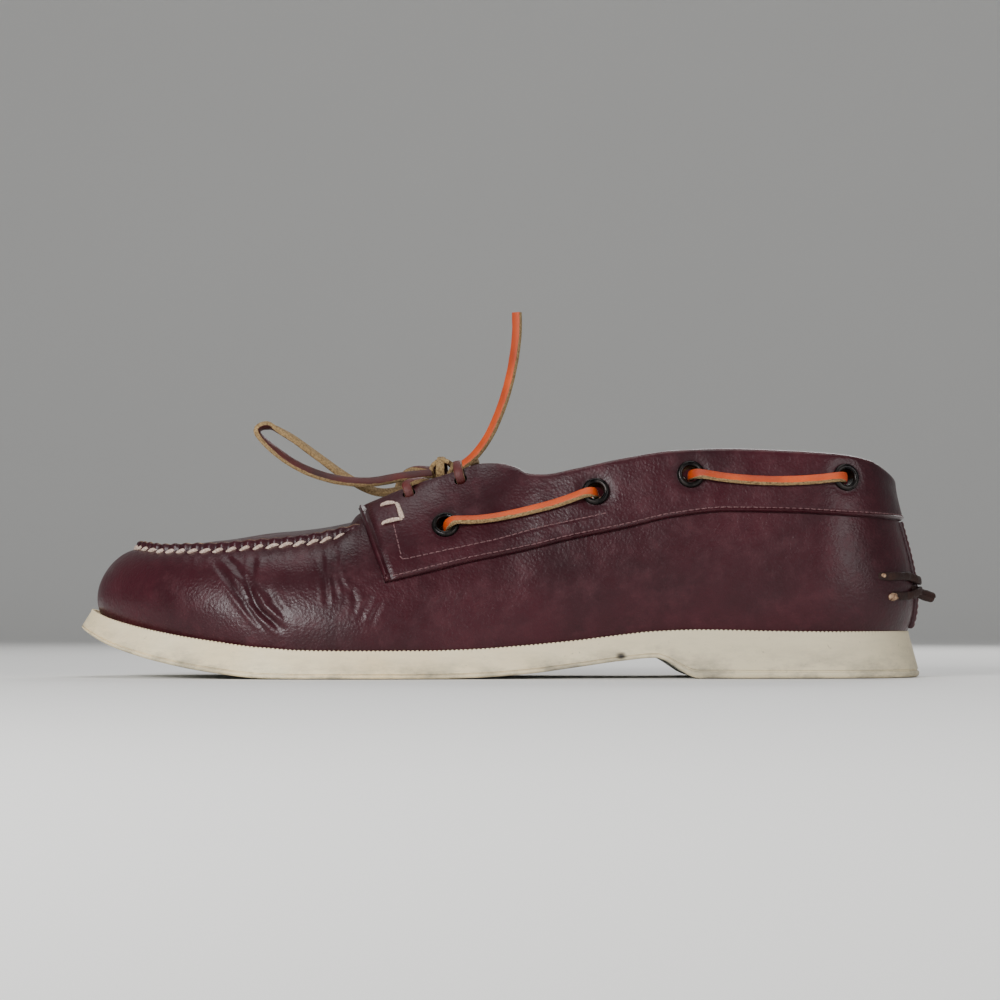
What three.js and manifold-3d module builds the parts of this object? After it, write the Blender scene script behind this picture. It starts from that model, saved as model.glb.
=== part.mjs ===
// A left boat shoe, empty and standing on its sole, in millimetres with +Z up and +X towards the toe.
// Every curved piece is worked out from one skin: a bent section at each station around the foot.
import * as THREE from "three";
import { mergeVertices } from "three/addons/utils/BufferGeometryUtils.js";
import Module from "manifold-3d";

const wasm = await Module();
wasm.setup();

// Driving dimensions
const soleLength = 295;
const ballWidth = 103.5;
const heelHeight = 15.5;
const toeSpring = 17;
const collarHeight = 77;
const apronHeight = 47;
const wall = 2;
const gap = 0.3;
const tipOffset = 8;
const sideLean = 4;
const weltLedge = 3;
const soleBevel = 1;
const insoleThickness = 3;
const apronLap = 1.4;
const apronRise = 0.6;
const bandThickness = 1.6;
const stripThickness = 1.1;
const stripWidth = 13;
const tongueThickness = 2;
const tongueHalfWidth = 22;
const eyeletOuter = 9.5;
const eyeletHole = 5.4;
const eyeletBarrel = 6.6;
const eyeletFlange = 0.9;
const laceWidth = 3.4;
const laceThickness = 2.2;
const cordDiameter = 3;
const tieWidth = 3.2;
const tieThickness = 1.6;

// Steps of the meshes
const wholeSteps = 38;
const skinRows = 5;
const apronSteps = 6;
const apronRows = 14;
const edgeSteps = 18;
const tongueSteps = 4;

// The sole. Widths are shares of half the ball width, tread and seat of the heel height,
// spring of the toe spring.
const soleRows = [
  { at: 0.0, lateral: 0.696, medial: 0.676, tread: 0.0, seat: 1.0, spring: 0.0 },
  { at: 0.1, lateral: 0.696, medial: 0.676, tread: 0.0, seat: 1.0, spring: 0.0 },
  { at: 0.17, lateral: 0.702, medial: 0.678, tread: 0.0, seat: 1.01, spring: 0.0 },
  { at: 0.268, lateral: 0.715, medial: 0.643, tread: 0.0, seat: 1.045, spring: 0.0 },
  { at: 0.32, lateral: 0.725, medial: 0.618, tread: 0.45, seat: 1.01, spring: 0.0 },
  { at: 0.36, lateral: 0.742, medial: 0.6, tread: 0.38, seat: 0.93, spring: 0.0 },
  { at: 0.41, lateral: 0.768, medial: 0.59, tread: 0.245, seat: 0.813, spring: 0.0 },
  { at: 0.47, lateral: 0.818, medial: 0.612, tread: 0.097, seat: 0.703, spring: 0.0 },
  { at: 0.53, lateral: 0.88, medial: 0.672, tread: 0.02, seat: 0.62, spring: 0.0 },
  { at: 0.58, lateral: 0.935, medial: 0.754, tread: 0.0, seat: 0.59, spring: 0.0 },
  { at: 0.67, lateral: 1.009, medial: 0.926, tread: 0.0, seat: 0.585, spring: 0.0 },
  { at: 0.73, lateral: 1.02, medial: 0.966, tread: 0.0, seat: 0.6, spring: 0.0 },
  { at: 0.77, lateral: 1.005, medial: 0.958, tread: 0.0, seat: 0.645, spring: 0.01 },
  { at: 0.83, lateral: 0.955, medial: 0.91, tread: 0.0, seat: 0.665, spring: 0.12 },
  { at: 0.89, lateral: 0.905, medial: 0.885, tread: 0.0, seat: 0.639, spring: 0.31 },
  { at: 0.955, lateral: 0.845, medial: 0.88, tread: 0.0, seat: 0.574, spring: 0.63 },
  { at: 1.0, lateral: 0.812, medial: 0.889, tread: 0.0, seat: 0.5, spring: 1.0 },
];

// How far the sole's side leans in and the sole's lip shows, as shares of sideLean and weltLedge.
const lipRows = [
  { at: 0.0, lean: 0.95, lip: 0.15 },
  { at: 0.14, lean: 0.6, lip: 0.35 },
  { at: 0.5, lean: 0.5, lip: 0.5 },
  { at: 0.85, lean: 0.6, lip: 0.75 },
  { at: 1.0, lean: 0.9, lip: 1.0 },
];

// The top line, from the collar over the wings to the apron seam.
// at is a share of the sole's length, out of half the ball width and up of the collar height.
const topRows = [
  { at: 0.034, out: 0.6, up: 0.875 },
  { at: 0.05, out: 0.6, up: 0.915 },
  { at: 0.07, out: 0.6, up: 0.953 },
  { at: 0.1, out: 0.6, up: 0.972 },
  { at: 0.16, out: 0.6, up: 0.988 },
  { at: 0.235, out: 0.6, up: 0.998 },
  { at: 0.295, out: 0.605, up: 0.99 },
  { at: 0.355, out: 0.605, up: 0.955 },
  { at: 0.41, out: 0.595, up: 0.91 },
  { at: 0.447, out: 0.57, up: 0.885 },
  { at: 0.463, out: 0.54, up: 0.889 },
  { at: 0.481, out: 0.485, up: 0.922 },
  { at: 0.502, out: 0.435, up: 0.938 },
  { at: 0.519, out: 0.415, up: 0.937 },
  { at: 0.536, out: 0.4, up: 0.92 },
  { at: 0.555, out: 0.39, up: 0.895 },
  { at: 0.59, out: 0.375, up: 0.853 },
  { at: 0.637, out: 0.365, up: 0.783 },
  { at: 0.666, out: 0.385, up: 0.728 },
  { at: 0.675, out: 0.46, up: 0.68 },
  { at: 0.683, out: 0.53, up: 0.64 },
  { at: 0.71, out: 0.555, up: 0.607 },
  { at: 0.75, out: 0.565, up: 0.59 },
  { at: 0.79, out: 0.56, up: 0.577 },
  { at: 0.84, out: 0.545, up: 0.564 },
  { at: 0.89, out: 0.53, up: 0.563 },
  { at: 0.932, out: 0.52, up: 0.585 },
];
const wingBlendStart = 0.57;
const wingBlendEnd = 0.75;
const topBack = 0.034;
const topFront = 0.932;
const collarRound = 0.095;
const apronRound = 0.105;

// The bend of a section between the sole and the top line: how far its two handles
// lean out, as shares of half the ball width, and rise, as shares of the collar height.
const bendRows = [
  { at: 0.0, footOut: 0.145, footUp: 0.184, topOut: 0.03, topUp: 0.195 },
  { at: 0.2, footOut: 0.1, footUp: 0.234, topOut: 0.068, topUp: 0.25 },
  { at: 0.42, footOut: 0.085, footUp: 0.25, topOut: 0.1, topUp: 0.23 },
  { at: 0.55, footOut: 0.05, footUp: 0.27, topOut: 0.25, topUp: 0.13 },
  { at: 0.65, footOut: 0.045, footUp: 0.22, topOut: 0.27, topUp: 0.08 },
  { at: 0.78, footOut: 0.068, footUp: 0.18, topOut: 0.25, topUp: 0.035 },
  { at: 1.0, footOut: 0.087, footUp: 0.12, topOut: 0.17, topUp: 0.013 },
];

// The apron's middle line: up is a share of the apron height.
const crestRows = [
  { at: 0.64, up: 1.19 },
  { at: 0.66, up: 1.17 },
  { at: 0.71, up: 1.107 },
  { at: 0.77, up: 1.07 },
  { at: 0.83, up: 1.02 },
  { at: 0.89, up: 0.985 },
  { at: 0.92, up: 1.0 },
  { at: 0.95, up: 0.975 },
];
const throatAt = 0.645;
const seamStart = 0.7;
const seamClimb = 0.22;

// The lower edge of the saddle and collar band, as shares of the collar height.
const bandEdgeRows = [
  { at: 0.0, up: 0.7 },
  { at: 0.1, up: 0.718 },
  { at: 0.16, up: 0.731 },
  { at: 0.235, up: 0.736 },
  { at: 0.295, up: 0.712 },
  { at: 0.355, up: 0.66 },
  { at: 0.415, up: 0.612 },
  { at: 0.475, up: 0.554 },
  { at: 0.535, up: 0.506 },
  { at: 0.595, up: 0.449 },
  { at: 0.635, up: 0.414 },
];
const bandFrontLow = 0.631;
const bandFrontTop = 0.664;
const bandFrontUp = 0.755;

// The tongue: across is a share of its half width, up of the collar height.
const tongueRows = [
  { at: 0.475, across: 0.0, up: 0.88 },
  { at: 0.481, across: 0.52, up: 0.885 },
  { at: 0.495, across: 0.78, up: 0.892 },
  { at: 0.52, across: 0.95, up: 0.888 },
  { at: 0.56, across: 1.0, up: 0.842 },
  { at: 0.6, across: 1.0, up: 0.79 },
  { at: 0.635, across: 1.0, up: 0.735 },
];
const tongueTip = 0.3;
const tongueDive = 0.6;
const tongueFront = 0.705;
const tongueCurve = 0.14;

// Eyelets along one side, and the plain lace holes near the wings' edge.
const eyeletRows = [
  { at: 0.565, up: 0.668 },
  { at: 0.388, up: 0.822 },
  { at: 0.278, up: 0.9 },
  { at: 0.09, up: 0.888 },
];
const holeRows = [
  { name: "rear", at: 0.545, down: 0.085 },
  { name: "front", at: 0.605, down: 0.085 },
];

const laceSag = 0.028;
const knotAt = 0.567;
const knotUp = 0.94;
const knotLength = 11;
const knotWidth = 10;
const knotHeight = 9;

// The tie at the heel: where its two strands enter the leather, and its rolled end.
const tieHighAt = 0.055;
const tieHighUp = 0.452;
const tieLowAt = 0.04;
const tieLowUp = 0.366;
const tieUp = 0.4;
const tieReach = 6;
const tieRoll = 4.6;

// Colours seen in the photograph
const leatherRed = 0x48222a;
const leatherDark = 0x32161c;
const soleCream = 0xebe0c8;
const laceOrange = 0xe26228;
const laceTan = 0xa58c69;
const tieBrown = 0x4a2a20;
const metalDark = 0x3a3834;
const insoleTan = 0x6b4a35;

const halfBall = ballWidth / 2;

// Tables are read between their rows by a curve that never overshoots a row.
function read(rows, column, at) {
  const last = rows.length - 1;
  if (at <= rows[0].at) {
    return rows[0][column];
  }
  if (at >= rows[last].at) {
    return rows[last][column];
  }
  let k = 0;
  while (rows[k + 1].at < at) {
    k += 1;
  }
  const slope = (i) => (rows[i + 1][column] - rows[i][column]) / (rows[i + 1].at - rows[i].at);
  const tangent = (i) => {
    if (i === 0) {
      return slope(0);
    }
    if (i === last) {
      return slope(last - 1);
    }
    const before = slope(i - 1);
    const after = slope(i);
    return before * after <= 0 ? 0 : (2 * before * after) / (before + after);
  };
  const span = rows[k + 1].at - rows[k].at;
  const t = (at - rows[k].at) / span;
  const rise = (1 + 2 * t) * (1 - t) * (1 - t) * rows[k][column];
  const lean = t * (1 - t) * (1 - t) * span * tangent(k);
  const fall = t * t * (3 - 2 * t) * rows[k + 1][column];
  const back = t * t * (t - 1) * span * tangent(k + 1);
  return rise + lean + fall + back;
}

function rounded(distance, reach) {
  if (distance <= 0) {
    return 0;
  }
  return distance >= reach ? 1 : Math.sqrt(1 - (1 - distance / reach) ** 2);
}

// The toe is set over towards the inner side of the foot.
function middle(at) {
  const t = THREE.MathUtils.smoothstep(at, 0.6, 1);
  return -tipOffset * t;
}

// A place around the foot is an angle: nothing at the heel, a half turn at the toe,
// and the outer side, where y is positive, comes first.
const toeAngle = Math.PI;
const angleAt = (at) => Math.acos(1 - 2 * at);
const heelReach = 0.136;
const toeReach = 0.21;

function outline(angle) {
  const at = (1 - Math.cos(angle)) / 2;
  const side = Math.sin(angle) >= 0 ? 1 : -1;
  const width = read(soleRows, side > 0 ? "lateral" : "medial", at) * halfBall;
  const round = rounded(at, heelReach) * rounded(1 - at, toeReach);
  return new THREE.Vector2(at * soleLength, middle(at) + side * width * round);
}

function outward(angle) {
  const step = 0.01;
  const along = outline(angle + step).sub(outline(angle - step)).normalize();
  return new THREE.Vector2(-along.y, along.x);
}

// The outline moved in, with the place along the shoe that it then has.
function inset(angle, distance) {
  return outline(angle).addScaledVector(outward(angle), -distance);
}

const share = (x) => THREE.MathUtils.clamp(x / soleLength, 0, 1);
const treadAt = (x) => {
  const at = share(x);
  return read(soleRows, "tread", at) * heelHeight + read(soleRows, "spring", at) * toeSpring;
};
const seatAt = (x) => {
  const at = share(x);
  return read(soleRows, "seat", at) * heelHeight + read(soleRows, "spring", at) * toeSpring;
};
const leanAt = (at) => read(lipRows, "lean", at) * sideLean;
const footInset = (at) => leanAt(at) + read(lipRows, "lip", at) * weltLedge;

// The stations around the foot, with the sharp turns of the outline among them.
const sharpPlaces = [
  0.268, 0.32, 0.447, 0.463, 0.481, 0.502, 0.519, 0.545, 0.56, 0.575, 0.59, 0.605, 0.62, 0.633,
  throatAt, 0.655, 0.666, 0.674, 0.683, 0.697,
];
const halfAngles = (() => {
  const sharp = sharpPlaces.map(angleAt);
  const even = [];
  for (let k = 0; k <= wholeSteps; k += 1) {
    const angle = (k / wholeSteps) * toeAngle;
    if (sharp.every((other) => Math.abs(other - angle) > 0.3 * (toeAngle / wholeSteps))) {
      even.push(angle);
    }
  }
  return [...even, ...sharp].sort((a, b) => a - b);
})();
const fullTurn = 2 * Math.PI;
const ringAngles = [...halfAngles, ...halfAngles.slice(1, -1).reverse().map((angle) => fullTurn - angle)];

// The skin of the upper
function topEdge(angle) {
  const footAt = (1 - Math.cos(angle)) / 2;
  const side = Math.sin(angle) >= 0 ? 1 : -1;
  const heelShift = topBack * Math.max(0, 1 - footAt / 0.2) ** 2;
  const toeShift = (1 - topFront) * Math.max(0, (footAt - 0.69) / 0.31) ** 2;
  const at = footAt + heelShift - toeShift;
  const round = rounded(at - topBack, collarRound) * rounded(topFront - at, apronRound);
  const out = read(topRows, "out", at) * halfBall * round;
  const up = read(topRows, "up", at) * collarHeight;
  return new THREE.Vector3(at * soleLength, middle(at) + side * out, up);
}

// The line that the body of a section bends towards. It passes the step between the wings
// and the apron seam smoothly, so that the leather below the step stays even.
function bodyEdge(angle) {
  const high = topEdge(angle);
  const at = high.x / soleLength;
  const t = THREE.MathUtils.smoothstep(at, wingBlendStart, wingBlendEnd);
  const before = Math.min(at, wingBlendStart);
  const after = Math.max(at, wingBlendEnd);
  const blend = (column) => THREE.MathUtils.lerp(read(topRows, column, before), read(topRows, column, after), t);
  const round = rounded(at - topBack, collarRound) * rounded(topFront - at, apronRound);
  const side = Math.sin(angle) >= 0 ? 1 : -1;
  return new THREE.Vector3(high.x, middle(at) + side * blend("out") * halfBall * round, blend("up") * collarHeight);
}

function section(angle, v) {
  const at = (1 - Math.cos(angle)) / 2;
  const foot = inset(angle, footInset(at));
  const away = outward(angle);
  const low = new THREE.Vector3(foot.x, foot.y, seatAt(foot.x) + gap);
  const high = topEdge(angle);
  const footOut = read(bendRows, "footOut", at) * halfBall;
  const topOut = read(bendRows, "topOut", at) * halfBall;
  const footUp = read(bendRows, "footUp", at) * collarHeight;
  const topUp = read(bendRows, "topUp", at) * collarHeight;
  const first = new THREE.Vector3(low.x + away.x * footOut, low.y + away.y * footOut, low.z + footUp);
  const body = bodyEdge(angle);
  const last = new THREE.Vector3(body.x + away.x * topOut, body.y + away.y * topOut, body.z - topUp);
  const w = 1 - v;
  return new THREE.Vector3()
    .addScaledVector(low, w * w * w)
    .addScaledVector(first, 3 * w * w * v)
    .addScaledVector(last, 3 * w * v * v)
    .addScaledVector(high, v * v * v);
}

function skinNormal(angle, v) {
  const step = 0.012;
  const along = section(angle + step, v).sub(section(angle - step, v));
  const up = section(angle, Math.min(1, v + step)).sub(section(angle, Math.max(0, v - step)));
  return up.cross(along).normalize();
}

// A point of the skin, moved out from the leather's outer face by off.
function skin(angle, v, off) {
  return section(angle, v).addScaledVector(skinNormal(angle, v), off);
}

// The share of a section at which it is a height above the floor.
function shareAtHeight(angle, height) {
  let low = 0;
  let high = 1;
  for (let turn = 0; turn < 24; turn += 1) {
    const half = (low + high) / 2;
    if (section(angle, half).z < height) {
      low = half;
    } else {
      high = half;
    }
  }
  return (low + high) / 2;
}

// Meshes
function geometryOf(points, triangles) {
  const geometry = new THREE.BufferGeometry();
  geometry.setAttribute("position", new THREE.Float32BufferAttribute(points.flatMap((p) => p.toArray()), 3));
  geometry.setIndex(triangles.flat());
  return faceOut(geometry);
}

function faceOut(geometry) {
  const place = geometry.getAttribute("position");
  const index = geometry.getIndex();
  const corners = [new THREE.Vector3(), new THREE.Vector3(), new THREE.Vector3()];
  let volume = 0;
  for (let k = 0; k < index.count; k += 3) {
    corners.forEach((corner, c) => corner.fromBufferAttribute(place, index.getX(k + c)));
    volume += corners[0].dot(corners[1].clone().cross(corners[2]));
  }
  if (volume < 0) {
    for (let k = 0; k < index.count; k += 3) {
      const second = index.getX(k + 1);
      index.setX(k + 1, index.getX(k + 2));
      index.setX(k + 2, second);
    }
  }
  geometry.computeVertexNormals();
  return geometry;
}

function toSolid(geometry) {
  const bare = geometry.clone();
  bare.deleteAttribute("normal");
  bare.deleteAttribute("uv");
  const merged = mergeVertices(bare, 1e-3);
  return new wasm.Manifold(new wasm.Mesh({
    numProp: 3,
    vertProperties: new Float32Array(merged.getAttribute("position").array),
    triVerts: new Uint32Array(merged.getIndex().array),
  }));
}

function fromSolid(solid) {
  const mesh = solid.getMesh();
  const geometry = new THREE.BufferGeometry();
  geometry.setAttribute("position", new THREE.BufferAttribute(new Float32Array(mesh.vertProperties), 3));
  geometry.setIndex(new THREE.BufferAttribute(new Uint32Array(mesh.triVerts), 1));
  geometry.computeVertexNormals();
  return geometry;
}

function quad(list, a, b, c, d) {
  list.push([a, b, c], [a, c, d]);
}

// A closed slab between two grids of points of the same size. A closed grid joins its last column to its first.
function slab(outer, inner, closed) {
  const columns = outer.length;
  const rows = outer[0].length;
  const points = [...outer.flat(), ...inner.flat()];
  const triangles = [];
  const top = (i, j) => (i % columns) * rows + j;
  const under = (i, j) => columns * rows + (i % columns) * rows + j;
  const spans = closed ? columns : columns - 1;
  for (let i = 0; i < spans; i += 1) {
    for (let j = 0; j < rows - 1; j += 1) {
      quad(triangles, top(i, j), top(i + 1, j), top(i + 1, j + 1), top(i, j + 1));
      quad(triangles, under(i, j), under(i, j + 1), under(i + 1, j + 1), under(i + 1, j));
    }
    quad(triangles, top(i, 0), under(i, 0), under(i + 1, 0), top(i + 1, 0));
    quad(triangles, top(i, rows - 1), top(i + 1, rows - 1), under(i + 1, rows - 1), under(i, rows - 1));
  }
  if (!closed) {
    const end = columns - 1;
    for (let j = 0; j < rows - 1; j += 1) {
      quad(triangles, top(0, j), top(0, j + 1), under(0, j + 1), under(0, j));
      quad(triangles, top(end, j), under(end, j), under(end, j + 1), top(end, j + 1));
    }
  }
  return geometryOf(points, triangles);
}

// A solid between rings around the foot, with its first and last ring filled from side to side.
function drum(rings) {
  const count = ringAngles.length;
  const half = halfAngles.length - 1;
  const points = rings.flat();
  const triangles = [];
  for (let r = 0; r < rings.length - 1; r += 1) {
    for (let i = 0; i < count; i += 1) {
      const next = (i + 1) % count;
      quad(triangles, r * count + i, r * count + next, (r + 1) * count + next, (r + 1) * count + i);
    }
  }
  const mirror = (i) => (count - i) % count;
  const lid = (start, flip) => {
    for (let i = 0; i < half; i += 1) {
      const around = [i, i + 1, mirror(i + 1), mirror(i)];
      const used = around.filter((value, k) => around.indexOf(value) === k).map((value) => start + value);
      for (let k = 1; k < used.length - 1; k += 1) {
        triangles.push(flip ? [used[0], used[k + 1], used[k]] : [used[0], used[k], used[k + 1]]);
      }
    }
  };
  lid(0, true);
  lid((rings.length - 1) * count, false);
  return geometryOf(points, triangles);
}

function material(colour, roughness, metalness = 0) {
  return new THREE.MeshStandardMaterial({ color: colour, roughness, metalness });
}

const shoe = new THREE.Group();

function add(name, geometry, colour, roughness, metalness) {
  const mesh = new THREE.Mesh(geometry, material(colour, roughness, metalness));
  mesh.name = name;
  shoe.add(mesh);
  return mesh;
}

// The outsole: one moulded piece with its heel, arch and sprung toe.
function makeOutsole() {
  const ring = (leanShare, rise, extra) => ringAngles.map((angle) => {
    const at = (1 - Math.cos(angle)) / 2;
    const place = inset(angle, leanAt(at) * leanShare + extra);
    const low = treadAt(place.x);
    const high = seatAt(place.x);
    return new THREE.Vector3(place.x, place.y, low + rise * (high - low));
  });
  const rings = [ring(0, 0, soleBevel), ring(0, 0.08, 0), ring(0.45, 0.5, 0), ring(1, 1, 0)];
  return drum(rings);
}

// The insole lies on the sole inside the upper.
function makeInsole() {
  const ring = (rise, extra) => ringAngles.map((angle) => {
    const at = (1 - Math.cos(angle)) / 2;
    const place = inset(angle, footInset(at) + wall + gap + extra);
    return new THREE.Vector3(place.x, place.y, seatAt(place.x) + gap + rise);
  });
  return drum([ring(0, 0.2), ring(insoleThickness, 0)]);
}

// The apron that closes the top of the forefoot, from the throat to the toe.
function apronTop(x, across, raise) {
  const at = x / soleLength;
  const round = rounded(topFront + apronLap / soleLength - at, apronRound);
  const half = (read(topRows, "out", Math.max(at, seamStart)) * halfBall + apronLap) * round;
  const seam = read(topRows, "up", Math.max(at, seamStart)) * collarHeight + seamRise(at);
  const crest = read(crestRows, "up", at) * apronHeight;
  const height = seam + (crest - seam) * (1 - across * across) * round * round + raise;
  return new THREE.Vector3(x, middle(at) + across * half, height);
}

// Under the saddle the seam climbs with the instep.
function seamRise(at) {
  return apronRise + Math.max(0, seamStart - at) * seamClimb * soleLength;
}

function makeApron() {
  const start = throatAt * soleLength;
  const end = (topFront + apronLap / soleLength) * soleLength;
  const outer = [];
  const inner = [];
  for (let k = 0; k < apronRows; k += 1) {
    const t = Math.sin((k / apronRows) * (Math.PI / 2));
    const x = start + (end - start) * t;
    const across = [];
    const under = [];
    for (let q = -apronSteps / 2; q <= apronSteps / 2; q += 1) {
      across.push(apronTop(x, q / (apronSteps / 2), 0));
      under.push(apronTop(x, q / (apronSteps / 2), -wall));
    }
    outer.push(across);
    inner.push(under);
  }
  return slab(outer, inner, false);
}

// A wall around the foot that follows the skin, from one distance off it to another.
function makeWall(inside, outside) {
  const outer = [];
  const inner = [];
  ringAngles.forEach((angle) => {
    const face = [];
    const back = [];
    for (let j = 0; j <= skinRows; j += 1) {
      const v = j / skinRows;
      const point = section(angle, v);
      const normal = skinNormal(angle, v);
      if (j === 0) {
        normal.setZ(0).normalize();
      }
      face.push(point.clone().addScaledVector(normal, outside));
      back.push(point.clone().addScaledVector(normal, inside));
    }
    outer.push(face);
    inner.push(back);
  });
  return toSolid(slab(outer, inner, true));
}

// The upper: a wall around the foot, joined to the apron along the raised seam.
function makeUpper() {
  return makeWall(-wall, 0).add(toSolid(makeApron()));
}

// A block that is as wide as the shoe and has an outline seen from the side.
function sideBlock(points, halfWidth) {
  const shape = new THREE.Shape(points.map(([x, z]) => new THREE.Vector2(x, z)));
  const block = new THREE.ExtrudeGeometry(shape, { depth: 2 * halfWidth, bevelEnabled: false });
  block.translate(0, 0, -halfWidth);
  block.rotateX(Math.PI / 2);
  return toSolid(block);
}

const bandEdge = (at) => read(bandEdgeRows, "up", at) * collarHeight;

// The saddle and collar band: the part of an outer wall that lies above the band's lower edge
// and behind the saddle's front edge.
function makeBand() {
  const behind = -soleLength * 0.1;
  const above = collarHeight * 1.3;
  const points = [[behind, bandEdge(0)]];
  for (let k = 0; k <= edgeSteps; k += 1) {
    const at = (k / edgeSteps) * bandFrontLow;
    points.push([at * soleLength, bandEdge(at)]);
  }
  const frontHeight = bandFrontUp * collarHeight;
  points.push([bandFrontTop * soleLength, frontHeight]);
  points.push([bandFrontTop * soleLength + (above - frontHeight) * 0.4, above], [behind, above]);
  return makeWall(gap, gap + bandThickness).intersect(sideBlock(points, ballWidth));
}

// The strip that covers the heel's back seam below the band.
function makeBackstay() {
  const low = heelHeight + 1.4;
  const high = bandEdge(0) - gap;
  const reach = soleLength * 0.1;
  const points = [[-reach, low], [reach, low], [reach, high], [-reach, high]];
  return fromSolid(makeWall(gap, gap + stripThickness).intersect(sideBlock(points, stripWidth / 2)));
}

// The tongue lies under the apron and the wings.
function makeTongue() {
  const hidden = [0.2, 0.6, 1].map((t) => THREE.MathUtils.lerp(throatAt, tongueFront, t));
  const places = [...tongueRows.map((row) => row.at), ...hidden];
  const outer = [];
  const inner = [];
  places.forEach((at) => {
    const face = [];
    const back = [];
    const width = tongueHalfWidth * Math.max(tongueTip, read(tongueRows, "across", at));
    for (let q = -tongueSteps; q <= tongueSteps; q += 1) {
      const y = (q / tongueSteps) * width;
      const under = apronUnder(at, y);
      const lift = read(tongueRows, "up", at) * collarHeight - tongueCurve * (y * y) / tongueHalfWidth;
      const blend = THREE.MathUtils.smoothstep(at, tongueDive, throatAt);
      const z = THREE.MathUtils.lerp(lift, under, blend);
      face.push(new THREE.Vector3(at * soleLength, middle(at) + y, z));
      back.push(new THREE.Vector3(at * soleLength, middle(at) + y, z - tongueThickness));
    }
    outer.push(face);
    inner.push(back);
  });
  return slab(outer, inner, false);
}

function apronUnder(at, y) {
  const x = Math.max(at, throatAt) * soleLength;
  const half = apronTop(x, 1, 0).y - middle(x / soleLength);
  return apronTop(x, y / half, -wall - gap).z;
}

// Eyelets, seated on the band's face with their barrels through the leather.
function eyeletPlace(row, side) {
  const base = angleAt(row.at);
  const angle = side > 0 ? base : fullTurn - base;
  const v = shareAtHeight(angle, row.up * collarHeight);
  return { point: skin(angle, v, 0), normal: skinNormal(angle, v) };
}

function turned(geometry, place, lift) {
  const turn = new THREE.Quaternion().setFromUnitVectors(new THREE.Vector3(0, 1, 0), place.normal);
  geometry.applyQuaternion(turn);
  const spot = place.point.clone().addScaledVector(place.normal, lift);
  geometry.translate(spot.x, spot.y, spot.z);
  return geometry;
}

const faceLift = gap + bandThickness;
const flangeSeat = gap + 0.25;

function makeEyelet(place) {
  const bottom = -(wall + faceLift + 0.5);
  const profile = [
    new THREE.Vector2(eyeletHole / 2, bottom),
    new THREE.Vector2(eyeletBarrel / 2, bottom),
    new THREE.Vector2(eyeletBarrel / 2, flangeSeat),
    new THREE.Vector2(eyeletOuter / 2, flangeSeat),
    new THREE.Vector2(eyeletOuter / 2 - 0.5, flangeSeat + eyeletFlange),
    new THREE.Vector2(eyeletHole / 2 + 0.5, flangeSeat + eyeletFlange),
    new THREE.Vector2(eyeletHole / 2, flangeSeat + 0.3),
    new THREE.Vector2(eyeletHole / 2, bottom),
  ];
  const ring = mergeVertices(bare(new THREE.LatheGeometry(profile, 11)), 1e-3);
  return faceOut(turned(ring, place, faceLift));
}

function bare(geometry) {
  geometry.deleteAttribute("normal");
  geometry.deleteAttribute("uv");
  return geometry;
}

const cutterLength = 16;

function holeCutter(place, diameter) {
  const cutter = new THREE.CylinderGeometry(diameter / 2, diameter / 2, cutterLength, 12);
  return toSolid(turned(cutter, place, 0));
}

// Laces are flat strips: a rectangle with cut corners drawn along a curve, its face towards a direction.
function ribbon(points, faces, width, thickness, steps) {
  const curve = new THREE.CatmullRomCurve3(points);
  const facing = new THREE.CatmullRomCurve3(faces);
  const w = width / 2;
  const t = thickness / 2;
  const corner = Math.min(w, t) * 0.5;
  const outlinePoints = [
    [-w, -t + corner], [-w + corner, -t], [w - corner, -t], [w, -t + corner],
    [w, t - corner], [w - corner, t], [-w + corner, t], [-w, t - corner],
  ];
  const rings = [];
  for (let k = 0; k <= steps; k += 1) {
    const along = curve.getTangent(k / steps);
    const across = along.clone().cross(facing.getPoint(k / steps)).normalize();
    const up = across.clone().cross(along).normalize();
    rings.push(outlinePoints.map(([a, b]) => curve.getPoint(k / steps)
      .addScaledVector(across, a)
      .addScaledVector(up, b)));
  }
  return loft(rings);
}

function loft(rings) {
  const count = rings[0].length;
  const triangles = [];
  for (let r = 0; r < rings.length - 1; r += 1) {
    for (let i = 0; i < count; i += 1) {
      const next = (i + 1) % count;
      quad(triangles, r * count + i, r * count + next, (r + 1) * count + next, (r + 1) * count + i);
    }
  }
  const end = (rings.length - 1) * count;
  for (let i = 1; i < count - 1; i += 1) {
    triangles.push([0, i + 1, i], [end, end + i, end + i + 1]);
  }
  return geometryOf(rings.flat(), triangles);
}

// A lace run on the band's face between two eyelets, sagging a little.
function makeRun(from, to, side) {
  const points = [];
  const faces = [];
  const count = 8;
  const high = faceLift + flangeSeat + eyeletFlange + gap * 2.5 + laceThickness / 2;
  const low = faceLift + gap * 2 + laceThickness / 2;
  for (let k = 0; k <= count; k += 1) {
    const t = k / count;
    const base = angleAt(THREE.MathUtils.lerp(from.at, to.at, t));
    const angle = side > 0 ? base : fullTurn - base;
    const height = (THREE.MathUtils.lerp(from.up, to.up, t) - laceSag * Math.sin(t * Math.PI)) * collarHeight;
    const v = shareAtHeight(angle, height);
    const rest = THREE.MathUtils.smoothstep(Math.min(t, 1 - t), 0.08, 0.24);
    points.push(skin(angle, v, THREE.MathUtils.lerp(high, low, rest)));
    faces.push(skinNormal(angle, v));
  }
  return ribbon(points, faces, laceWidth, laceThickness, 9);
}

// The lace across the throat: a bar through the front holes, and the strand through the
// rear holes, which meet under the knot.
function wingPlace(row, side) {
  const base = angleAt(row.at);
  const angle = side > 0 ? base : fullTurn - base;
  return { point: skin(angle, 1 - row.down, 0), normal: skinNormal(angle, 1 - row.down) };
}

const knotPlace = new THREE.Vector3(knotAt * soleLength, 0, knotUp * collarHeight);

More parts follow.
